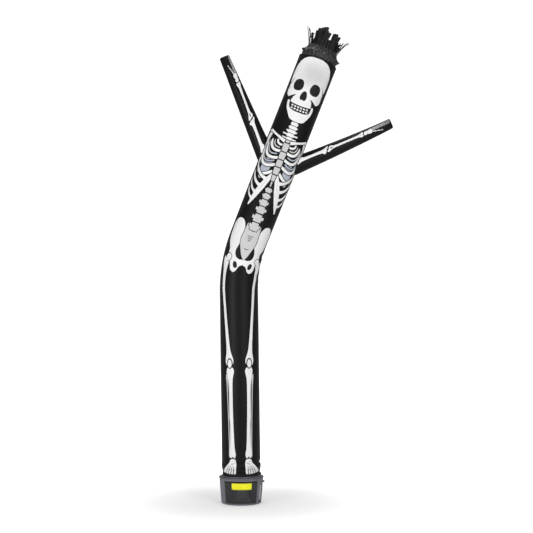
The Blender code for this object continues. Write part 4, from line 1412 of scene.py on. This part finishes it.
# %% The strap and its locks
STRAP_HEIGHTS = (0.004, 0.026)
WEBBING = 0.0017
SEAM_GAP = 0.0003
LOCK_SIZE = (0.030, 0.014, 0.024)
LOCKS = [
    # name, angle round the tube
    ("strap_lock_left", -66),
    ("strap_lock_right", 88),
]
webbing = cloth_material("webbing", (0.014, 0.014, 0.015), 0.62, grid=0.0018)
lock_plastic = plastic_material("lock_plastic_finish", (0.012, 0.012, 0.013), 0.38)


def strap_place(share, angle):
    along = STRAP_HEIGHTS[0] + share * (STRAP_HEIGHTS[1] - STRAP_HEIGHTS[0])
    radius = HEM_RADIUS + SEAM_GAP + WEBBING + 0.0004 * math.sin(math.pi * share)
    return around(along, angle, radius)


strap = ring_sheet("hem_strap", strap_place, 7, 180, webbing, WEBBING,
                   (2 * math.pi * HEM_RADIUS, STRAP_HEIGHTS[1] - STRAP_HEIGHTS[0]))
locks = []
for name, degrees in LOCKS:
    work = bmesh.new()
    bmesh.ops.create_cube(work, size=1)
    bmesh.ops.scale(work, vec=LOCK_SIZE, verts=work.verts)
    bmesh.ops.bevel(work, geom=work.edges, offset=0.0026, segments=3, affect="EDGES", profile=0.6)
    front = [face for face in work.faces if face.normal.y < -0.99]
    for inset, push in ((0.004, 0.0025), (0.0028, -0.0017)):
        bmesh.ops.inset_region(work, faces=front, thickness=inset)
        bmesh.ops.translate(work, verts=list({v for face in front for v in face.verts}), vec=(0, push, 0))
    angle = math.radians(degrees)
    out = HEM_RADIUS + SEAM_GAP + WEBBING + 0.0004 + SEAM_GAP + LOCK_SIZE[1] / 2
    middle = around(sum(STRAP_HEIGHTS) / 2, angle, out)
    for spot in work.verts:
        x, y, z = spot.co
        spot.co = middle + Vector((x * math.cos(angle) - y * math.sin(angle),
                                   x * math.sin(angle) + y * math.cos(angle), z))
    mesh = written(work, bpy.data.meshes.new("dressed_" + name))
    mesh.materials.append(lock_plastic)
    locks.append(linked("dressed_" + name, mesh))
print("strap faces", len(strap.data.polygons), "locks", len(locks))

# %% [markdown]
# ## The blower
# The blower is a moulded tub with a lid, two grille windows, a switch knob and a motor
# that barely shows inside. Its wall is a cone that rises from a rounded foot to the lid.
# The wall is made as columns and rows of faces with the windows left out, given thickness,
# and its sharp edges are rounded by a bevel, since moulded plastic has no knife edges.

# %% The tub
TUB_FOOT = (0.2396, 0.0160)
TUB_TOP = (0.2645, 0.3047)
TUB_WALL = 0.004
TUB_CORNER = [
    # radius, height, from the middle of the floor to the wall
    (0.001, 0.0), (0.060, 0.0), (0.130, 0.0), (0.206, 0.0), (0.2180, 0.0007), (0.2270, 0.0029),
    (0.2330, 0.0064), (0.2370, 0.0109),
]
WINDOWS = [
    # name, first angle, last angle, lowest, highest, columns, rows of holes
    ("front_grille", -50, 50, 0.018, 0.292, 12, 8),
    ("side_grille", 60, 120, 0.018, 0.230, 7, 6),
]
TUB_COLUMNS = 180


def wall_radius(height):
    share = (height - TUB_FOOT[1]) / (TUB_TOP[1] - TUB_FOOT[1])
    return TUB_FOOT[0] + share * (TUB_TOP[0] - TUB_FOOT[0])


def wall_point(angle, height, out=0.0):
    radius = wall_radius(height) + out
    return Vector((radius * math.sin(angle), -radius * math.cos(angle), height))


def circle_rings(work, section, sides):
    """Rings of vertices round the vertical, one for each (radius, height) of a section."""
    turns = [2 * math.pi * k / sides for k in range(sides)]
    return [[work.verts.new((radius * math.sin(a), -radius * math.cos(a), height)) for a in turns]
            for radius, height in section]


def soften(piece, width, degrees):
    """Rounds the edges that are sharper than an angle."""
    soft = piece.modifiers.new("soft_edges", "BEVEL")
    soft.width = width
    soft.segments = 2
    soft.limit_method = "ANGLE"
    soft.angle_limit = math.radians(degrees)


def in_window(degrees, height):
    turn = (degrees + 180) % 360 - 180
    return any(first < turn < last and low < height < high for _, first, last, low, high, _, _ in WINDOWS)


window_edges = {edge for window in WINDOWS for edge in window[3:5]}
wall_rows = sorted({TUB_FOOT[1], TUB_TOP[1]} | window_edges | {0.06 + 0.025 * k for k in range(9)})
profile = TUB_CORNER + [(wall_radius(height), height) for height in wall_rows]
work = bmesh.new()
rings = circle_rings(work, profile, TUB_COLUMNS)
for row, (low, high) in enumerate(zip(rings, rings[1:])):
    for k in range(TUB_COLUMNS):
        degrees = (k + 0.5) * 360 / TUB_COLUMNS
        if not in_window(degrees, (profile[row][1] + profile[row + 1][1]) / 2):
            after = (k + 1) % TUB_COLUMNS
            work.faces.new((low[k], low[after], high[after], high[k]))
work.faces.new(rings[0][::-1])
housing_mesh = bpy.data.meshes.new("dressed_housing")
work.to_mesh(housing_mesh)
work.free()
housing_plastic = plastic_material("housing_plastic_finish", (0.150, 0.153, 0.180), 0.46)
housing_mesh.materials.append(housing_plastic)
# Painted shade: the tub's inner faces are near black, darker than its plastic, for the shade inside it.
painted_shade_inside, _, _ = new_material("painted_shade_inside", (0.004, 0.004, 0.004), 0.8, specular=0.1)
housing_mesh.materials.append(painted_shade_inside)
housing = finish_sheet(linked("dressed_housing", housing_mesh), TUB_WALL)
# The wall's inner shell takes the painted-shade finish.
housing.modifiers["thickness"].material_offset = 1
soften(housing, 0.0009, 50)
print("tub faces", len(housing_mesh.polygons))

# %% Turned pieces: lid, motor and knob
def turned_piece(name, section, finish, sides=144, closed=True, middle=None, turn=None):
    """A section of (radius, height) turned round the vertical, or round a given place's axis."""
    work = bmesh.new()
    rings = circle_rings(work, section, sides)
    pairs = list(zip(rings, rings[1:])) + ([(rings[-1], rings[0])] if closed else [])
    for low, high in pairs:
        for k in range(sides):
            after = (k + 1) % sides
            work.faces.new((low[k], low[after], high[after], high[k]))
    if not closed:
        work.faces.new(rings[0][::-1])
        work.faces.new(rings[-1])
    bmesh.ops.recalc_face_normals(work, faces=work.faces)
    mesh = written(work, bpy.data.meshes.new(name))
    if turn is not None:
        for spot in mesh.vertices:
            x, y, z = spot.co
            spot.co = middle + Vector((x * math.cos(turn) + z * math.sin(turn),
                                       x * math.sin(turn) - z * math.cos(turn), y))
    mesh.materials.append(finish)
    piece = linked(name, mesh)
    soften(piece, 0.0008, 35)
    return piece


LID_RADIUS = 0.269
LID_BOTTOM = 0.305
LID_TOP = 0.322
NECK_TOP = 0.366
NECK_WALL = 0.003
NECK = HEM_RADIUS - CLOTH - SEAM_GAP - 0.0008
LID_SECTION = [
    # radius, height
    (LID_RADIUS - 0.0030, LID_BOTTOM), (LID_RADIUS - 0.0008, LID_BOTTOM + 0.0010),
    (LID_RADIUS, LID_BOTTOM + 0.0035), (LID_RADIUS, LID_TOP - 0.0060),
    (LID_RADIUS - 0.0012, LID_TOP - 0.0025), (LID_RADIUS - 0.0040, LID_TOP - 0.0004),
    (LID_RADIUS - 0.0060, LID_TOP), (LID_RADIUS - 0.0110, LID_TOP),
    (LID_RADIUS - 0.0140, LID_TOP - 0.0030), (NECK + 0.0140, LID_TOP - 0.0030),
    (NECK + 0.0080, LID_TOP - 0.0010), (NECK + 0.0020, LID_TOP + 0.0020),
    (NECK, LID_TOP + 0.0060), (NECK, NECK_TOP - 0.0010), (NECK - 0.0010, NECK_TOP),
    (NECK - NECK_WALL + 0.0010, NECK_TOP), (NECK - NECK_WALL, NECK_TOP - 0.0010),
    (NECK - NECK_WALL, LID_BOTTOM),
]
MOTOR_SECTION = [
    (0.118, 0.0043), (0.118, 0.0220), (0.112, 0.0250), (0.078, 0.0300), (0.078, 0.0600), (0.082, 0.0640),
    (0.082, 0.0760), (0.078, 0.0800), (0.078, 0.1600), (0.060, 0.1750), (0.026, 0.1800), (0.026, 0.2100),
]
KNOB_ANGLE = math.radians(85)
KNOB_HEIGHT = 0.262
KNOB_SECTION = [
    (0.0130, 0.0), (0.0130, 0.0040), (0.0105, 0.0050), (0.0105, 0.0150), (0.0092, 0.0180),
]
lid_plastic = plastic_material("lid_plastic_finish", (0.100, 0.102, 0.120), 0.42)
knob_plastic = plastic_material("knob_plastic_finish", (0.010, 0.010, 0.011), 0.36)
motor_metal, _, _ = new_material("motor_metal_finish", (0.030, 0.030, 0.032), 0.42, metallic=0.60)
lid = turned_piece("dressed_lid", LID_SECTION, lid_plastic)
motor = turned_piece("dressed_motor", MOTOR_SECTION, motor_metal, sides=64, closed=False)
seat = wall_point(KNOB_ANGLE, KNOB_HEIGHT, 0.0012)
knob = turned_piece("dressed_knob", KNOB_SECTION, knob_plastic, sides=36, closed=False,
                    middle=seat, turn=KNOB_ANGLE)
print("lid, motor and knob faces", [len(piece.data.polygons) for piece in (lid, motor, knob)])

# %% [markdown]
# ## Grilles
# Each window holds a lattice of diamond holes. It is made of one small frame, a diamond
# with a diamond hole, that a tree sets on two staggered grids; the realized frames are
# welded and bent to the wall's cone in the same tree. A plain rim closes the lattice's
# edge.

# %% The lattice tree
def lattice_tree():
    tree, given, result = new_tree("diamond_lattice", [
        ("Columns", "Int", 11), ("Rows", "Int", 7), ("Start", "Float", -0.8), ("End", "Float", 0.8),
        ("Low", "Float", 0.034), ("High", "Float", 0.286), ("Foot radius", "Float", 0.209),
        ("Foot height", "Float", 0.025), ("Flare", "Float", 0.157), ("Inside", "Float", 0.0005),
        ("Finish", "Material", None),
    ])
    value = given.outputs
    frames = tree.nodes.new("GeometryNodeJoinGeometry")
    for extra in (0, 1):
        wide = calc(tree, "SUBTRACT", value["Columns"], extra)
        high = calc(tree, "SUBTRACT", value["Rows"], extra)
        _, grid = made_by(tree, "GeometryNodeMeshGrid", Size_X=calc(tree, "SUBTRACT", wide, 1.0),
                          Size_Y=calc(tree, "SUBTRACT", high, 1.0), Vertices_X=wide, Vertices_Y=high)
        copies = tree.nodes.new("GeometryNodeInstanceOnPoints")
        feed(tree, copies.inputs["Points"], grid)
        feed(tree, copies.inputs["Instance"], value["Geometry"])
        feed(tree, frames.inputs["Geometry"], copies.outputs[0])
    _, real = made_by(tree, "GeometryNodeRealizeInstances", Geometry=frames.outputs[0])
    _, whole = made_by(tree, "GeometryNodeMergeByDistance", Geometry=real, Distance=0.001)
    place = tree.nodes.new("GeometryNodeInputPosition").outputs[0]
    parts = made_by(tree, "ShaderNodeSeparateXYZ", Vector=place)[0]
    across = calc(tree, "ADD", calc(tree, "DIVIDE", parts.outputs["X"], value["Columns"]), 0.5)
    upward = calc(tree, "ADD", calc(tree, "DIVIDE", parts.outputs["Y"], value["Rows"]), 0.5)
    sweep = calc(tree, "SUBTRACT", value["End"], value["Start"])
    angle = calc(tree, "MULTIPLY_ADD", across, sweep, value["Start"])
    tall = calc(tree, "SUBTRACT", value["High"], value["Low"])
    height = calc(tree, "MULTIPLY_ADD", upward, tall, value["Low"])
    rise = calc(tree, "SUBTRACT", height, value["Foot height"])
    radius = calc(tree, "MULTIPLY_ADD", rise, value["Flare"], value["Foot radius"])
    radius = calc(tree, "SUBTRACT", calc(tree, "ADD", radius, parts.outputs["Z"]), value["Inside"])
    x = calc(tree, "MULTIPLY", radius, calc(tree, "SINE", angle))
    y = calc(tree, "MULTIPLY", calc(tree, "MULTIPLY", radius, calc(tree, "COSINE", angle)), -1.0)
    _, bent = made_by(tree, "GeometryNodeSetPosition", Geometry=whole, Position=vector_of(tree, x, y, height))
    _, dressed = made_by(tree, "GeometryNodeSetMaterial", Geometry=bent, Material=value["Finish"])
    feed(tree, result.inputs[0], dressed)
    return tree


HOLE_SHARE = 0.82
BAR_DEPTH = 0.0030
BAR_BEVEL = 0.03


def diamond_frame():
    """One diamond of the lattice, a unit wide, with a hole and slanted edges."""
    ways = [(0, -0.5), (0.5, 0), (0, 0.5), (-0.5, 0)]
    levels = [(1.0, -BAR_DEPTH), (1.0, -0.0006), (1.0 - BAR_BEVEL, 0.0), (HOLE_SHARE + BAR_BEVEL, 0.0),
              (HOLE_SHARE, -0.0006), (HOLE_SHARE, -BAR_DEPTH)]
    spots = [(x * size, y * size, depth) for size, depth in levels for x, y in ways]
    faces = []
    for level in range(1, len(levels)):
        low, high = level * 4, (level + 1) % len(levels) * 4
        for k in range(4):
            faces.append((low + k, low + (k + 1) % 4, high + (k + 1) % 4, high + k))
    mesh = bpy.data.meshes.new("diamond_frame")
    mesh.from_pydata(spots, [], [face[::-1] for face in faces])
    return mesh


grille_plastic = plastic_material("grille_plastic_finish", (0.13, 0.13, 0.14), 0.36)
GRILLE_RIM = 0.0065
GRILLE_FACE = 0.0005
GRILLE_BACK = 0.0035
lattices = lattice_tree()
grilles = []
for name, first, last, low, high, columns, rows in WINDOWS:
    edge = (SEAM_GAP + GRILLE_RIM) / wall_radius(low)
    start, end = math.radians(first) + edge, math.radians(last) - edge
    bottom, top = low + SEAM_GAP + GRILLE_RIM, high - SEAM_GAP - GRILLE_RIM
    piece = grown("dressed_" + name, lattices, {
        "Columns": columns, "Rows": rows, "Start": start, "End": end, "Low": bottom, "High": top,
        "Foot radius": TUB_FOOT[0], "Foot height": TUB_FOOT[1],
        "Flare": (TUB_TOP[0] - TUB_FOOT[0]) / (TUB_TOP[1] - TUB_FOOT[1]), "Inside": GRILLE_FACE,
        "Finish": grille_plastic}, diamond_frame())
    work = bmesh.new()
    work.from_mesh(piece.data)
    outside = edge - SEAM_GAP / wall_radius(low)
    across = [start - outside] + [start + (end - start) * k / 40 for k in range(41)] + [end + outside]
    upward = [bottom + (top - bottom) * k / 10 for k in range(11)]
    upward = [bottom - GRILLE_RIM] + upward + [top + GRILLE_RIM]
    for depth in (GRILLE_FACE, GRILLE_BACK):
        spots = [[work.verts.new(wall_point(a, h, -depth)) for a in across] for h in upward]
        for row in range(len(upward) - 1):
            for k in range(len(across) - 1):
                if row in (0, len(upward) - 2) or k in (0, len(across) - 2):
                    corners = (spots[row][k], spots[row][k + 1], spots[row + 1][k + 1], spots[row + 1][k])
                    work.faces.new(corners if depth == GRILLE_FACE else corners[::-1])
    work.to_mesh(piece.data)
    work.free()
    grilles.append(piece)
    print(piece.name, "faces", len(piece.data.polygons))

# %% [markdown]
# ## The plate on the grille
# A thin yellow plate is fixed on the front grille. It stays bare here, with a screw in
# each corner and softly rounded corners, bent to the same cone as the wall.

# %% The plate and its screws
LABEL_ANGLES = (math.radians(-25.0), math.radians(29.5))
LABEL_HEIGHTS = (0.190, 0.266)
LABEL_MIDDLE = sum(LABEL_HEIGHTS) / 2
LABEL_THICK = 0.0015
LABEL_STANDOFF = 0.0008
yellow_sheet = plastic_material("yellow_plate_finish", (1.00, 0.96, 0.010), 0.30)
half_wide = wall_radius(LABEL_MIDDLE) * (LABEL_ANGLES[1] - LABEL_ANGLES[0]) / 2
half_high = (LABEL_HEIGHTS[1] - LABEL_HEIGHTS[0]) / 2
CORNER = 0.006
SCREW_INSET = 0.008
PLATE_STEP = 0.012
outline = []
for cx, cy, first in ((1, 1, 0), (-1, 1, 90), (-1, -1, 180), (1, -1, 270)):
    for step in range(7):
        a = math.radians(first + 15 * step)
        outline.append((cx * (half_wide - CORNER) + CORNER * math.cos(a),
                        cy * (half_high - CORNER) + CORNER * math.sin(a)))
inside = [(-half_wide + SCREW_INSET + PLATE_STEP * k, y)
          for k in range(int(2 * half_wide / PLATE_STEP)) for y in (-0.02, 0, 0.02)]
corners = [Vector(spot) for spot in split_long(outline, 0.010)]
count = len(corners)
flat = delaunay_2d_cdt(corners + [Vector(spot) for spot in inside if abs(spot[0]) < half_wide - 0.004], [],
                       [list(range(count))], 1, 1e-6, True)
plate_mesh = bpy.data.meshes.new("dressed_plate")
label_middle = sum(LABEL_ANGLES) / 2


def on_plate(x, y, out):
    return wall_point(label_middle + x / wall_radius(LABEL_MIDDLE), LABEL_MIDDLE + y, out)


plate_mesh.from_pydata([on_plate(x, y, LABEL_STANDOFF + LABEL_THICK) for x, y in flat[0]], [], flat[2])
plate_mesh.materials.append(yellow_sheet)
plate = finish_sheet(linked("dressed_plate", plate_mesh), LABEL_THICK, 0)
screw_metal, _, _ = new_material("screw_metal", (0.45, 0.45, 0.46), 0.3, metallic=1.0)
work = bmesh.new()
for x in (-half_wide + SCREW_INSET, half_wide - SCREW_INSET):
    for y in (-half_high + SCREW_INSET, half_high - SCREW_INSET):
        place = on_plate(x, y, LABEL_STANDOFF + LABEL_THICK)
        cap = bmesh.ops.create_uvsphere(work, u_segments=16, v_segments=8, radius=0.0035)
        for spot in cap["verts"]:
            spot.co.y *= 0.45
            spot.co += place
screw_mesh = written(work, bpy.data.meshes.new("plate_screws"))
screw_mesh.materials.append(screw_metal)
screws = linked("plate_screws", screw_mesh)
print("plate faces", len(plate_mesh.polygons))

# %% [markdown]
# ## Joining the frame
# Every piece rides the frame's one body and stands for the node that it dresses, whose
# solid is hidden. The tube's and the sleeves' flat cuts follow from their forms, and the
# cuff's flat size is a guess. How the ribbon strips are really cut isn't known, so their
# sizes and their shares of ribbon are fitted to the ribbons made above.

# %% What each piece stands for
DRESSED = [
    # piece, node, slot
    (tube, "tube_body", "black_cloth"),
    (arms[0], "arm_left", "black_cloth"),
    (arms[1], "arm_right", "black_cloth"),
    (cuff, "head_cuff", "grey_cuff_cloth"),
    (hair[0], "hair_fringe_outer", "ribbon_cloth"),
    (hair[1], "hair_fringe_inner", "ribbon_cloth"),
    (strap, "base_strap", "strap_webbing"),
    (locks[0], "strap_lock_left", "lock_plastic"),
    (locks[1], "strap_lock_right", "lock_plastic"),
    (housing, "blower_housing", "housing_plastic"),
    (lid, "blower_lid", "lid_plastic"),
    (grilles[0], "front_grille", "grille_plastic"),
    (grilles[1], "side_grille", "grille_plastic"),
    (plate, "label_plate", "label_yellow"),
    (knob, "switch_knob", "knob_plastic"),
    (motor, "blower_motor", "motor_metal"),
]
for piece, node, finish in DRESSED:
    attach(piece, "root")
    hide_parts(node)
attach(stitches, "root")
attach(screws, "root")
print("pieces", len(DRESSED) + 2)

# %% [markdown]
# ## Floor, light and camera
# The photo is a plain studio cut-out: white all round, with a soft shadow on the ground
# at both sides of the blower. Soft lights stand at both sides and above. The floor
# glows weakly near the blower, where the lights' shadow has to show and the weaker glow
# adds a painted shade round the blower's foot, and up to white farther out. The camera
# sees all of that glow and the pieces only a tenth, or it would light them from below.
# The camera stands far back, so that the tube's ends keep nearly the same scale.

# %% Floor and light
FLOOR_RADIUS = 30.0
FLOOR_SIDES = 96
FLOOR_LEVEL = -0.0002
FADE_FROM = 0.3
FADE_TO = 3.4
# Painted shade: the floor's glow is lowest near the blower, darkening the ground round its foot.
GLOW_NEAR = 0.31
GLOW_FAR = 1.20
GLOW_ON_PIECES = 0.10
SKY_ON_PIECES = 0.32
SKY_SHOWN = 1.15
floor_mesh = bpy.data.meshes.new("floor")
turns = [2 * math.pi * k / FLOOR_SIDES for k in range(FLOOR_SIDES)]
ring = [(FLOOR_RADIUS * math.cos(a), FLOOR_RADIUS * math.sin(a), FLOOR_LEVEL) for a in turns]
floor_mesh.from_pydata(ring, [], [list(range(FLOOR_SIDES))])
floor_paint, paper, paint = new_material("floor_paint", (0.80, 0.80, 0.80), 0.9, specular=0.1)
place = paper.nodes.new("ShaderNodeTexCoord")
far = paper.nodes.new("ShaderNodeVectorMath")
far.operation = "LENGTH"
glow = add_node(paper, "ShaderNodeMapRange", From_Min=FADE_FROM, From_Max=FADE_TO,
                To_Min=GLOW_NEAR, To_Max=GLOW_FAR)
glow.interpolation_type = "SMOOTHERSTEP"
paper.links.new(place.outputs["Object"], far.inputs[0])
paper.links.new(far.outputs["Value"], glow.inputs["Value"])
seen = paper.nodes.new("ShaderNodeLightPath")
dim = add_node(paper, "ShaderNodeMapRange", To_Min=GLOW_ON_PIECES, To_Max=1.0)
emitted = paper.nodes.new("ShaderNodeMath")
emitted.operation = "MULTIPLY"
paper.links.new(seen.outputs["Is Camera Ray"], dim.inputs["Value"])
paper.links.new(dim.outputs["Result"], emitted.inputs[0])
paper.links.new(glow.outputs["Result"], emitted.inputs[1])
paint.inputs["Emission Color"].default_value = (1, 1, 1, 1)
paper.links.new(emitted.outputs[0], paint.inputs["Emission Strength"])
floor_mesh.materials.append(floor_paint)
floor = linked("floor", floor_mesh)


def aimed(holder, place, aim):
    """Puts a light or a camera at a place and turns it to look at another."""
    holder.location = place
    holder.rotation_mode = "QUATERNION"
    holder.rotation_quaternion = (aim - place).to_track_quat("-Z", "Y")
    return holder


def area_light(name, place, aim, power, width, height):
    light = bpy.data.lights.new(name, "AREA")
    light.shape = "RECTANGLE"
    light.size = width
    light.size_y = height
    light.energy = power
    aimed(linked(name, light), Vector(place), Vector(aim))


LIGHTS = [
    # name, place, aim, power, width, height
    ("key", (5.5, -9.5, 5.0), (0.3, 0, 2.6), 420, 4.0, 5.0),
    ("fill", (-7.5, -10.0, 3.0), (0.2, 0, 2.4), 560, 4.0, 4.0),
    ("top", (0.5, 1.0, 11.0), (0.3, 0, 0), 300, 6.0, 6.0),
]
for light in LIGHTS:
    area_light(*light)
world = bpy.data.worlds.new("white_studio")
bpy.context.scene.world = world
world.use_nodes = True
tree = world.node_tree
backdrop = tree.nodes["Background"]
backdrop.inputs["Color"].default_value = (1, 1, 1, 1)
path = tree.nodes.new("ShaderNodeLightPath")
strength = add_node(tree, "ShaderNodeMapRange", To_Min=SKY_ON_PIECES, To_Max=SKY_SHOWN)
tree.links.new(path.outputs["Is Camera Ray"], strength.inputs["Value"])
tree.links.new(strength.outputs["Result"], backdrop.inputs["Strength"])
bpy.context.scene.view_settings.view_transform = "Standard"

# %% Camera
CAMERA_AT = Vector((0.303, -14.0, 2.30))
CAMERA_AIM = Vector((0.303, 0.0, 2.845))
lens = bpy.data.cameras.new("camera")
lens.lens = 78.0
camera = aimed(linked("camera", lens), CAMERA_AT, CAMERA_AIM)
bpy.context.scene.camera = camera
print("camera", round((CAMERA_AIM - CAMERA_AT).length, 2), "m away")
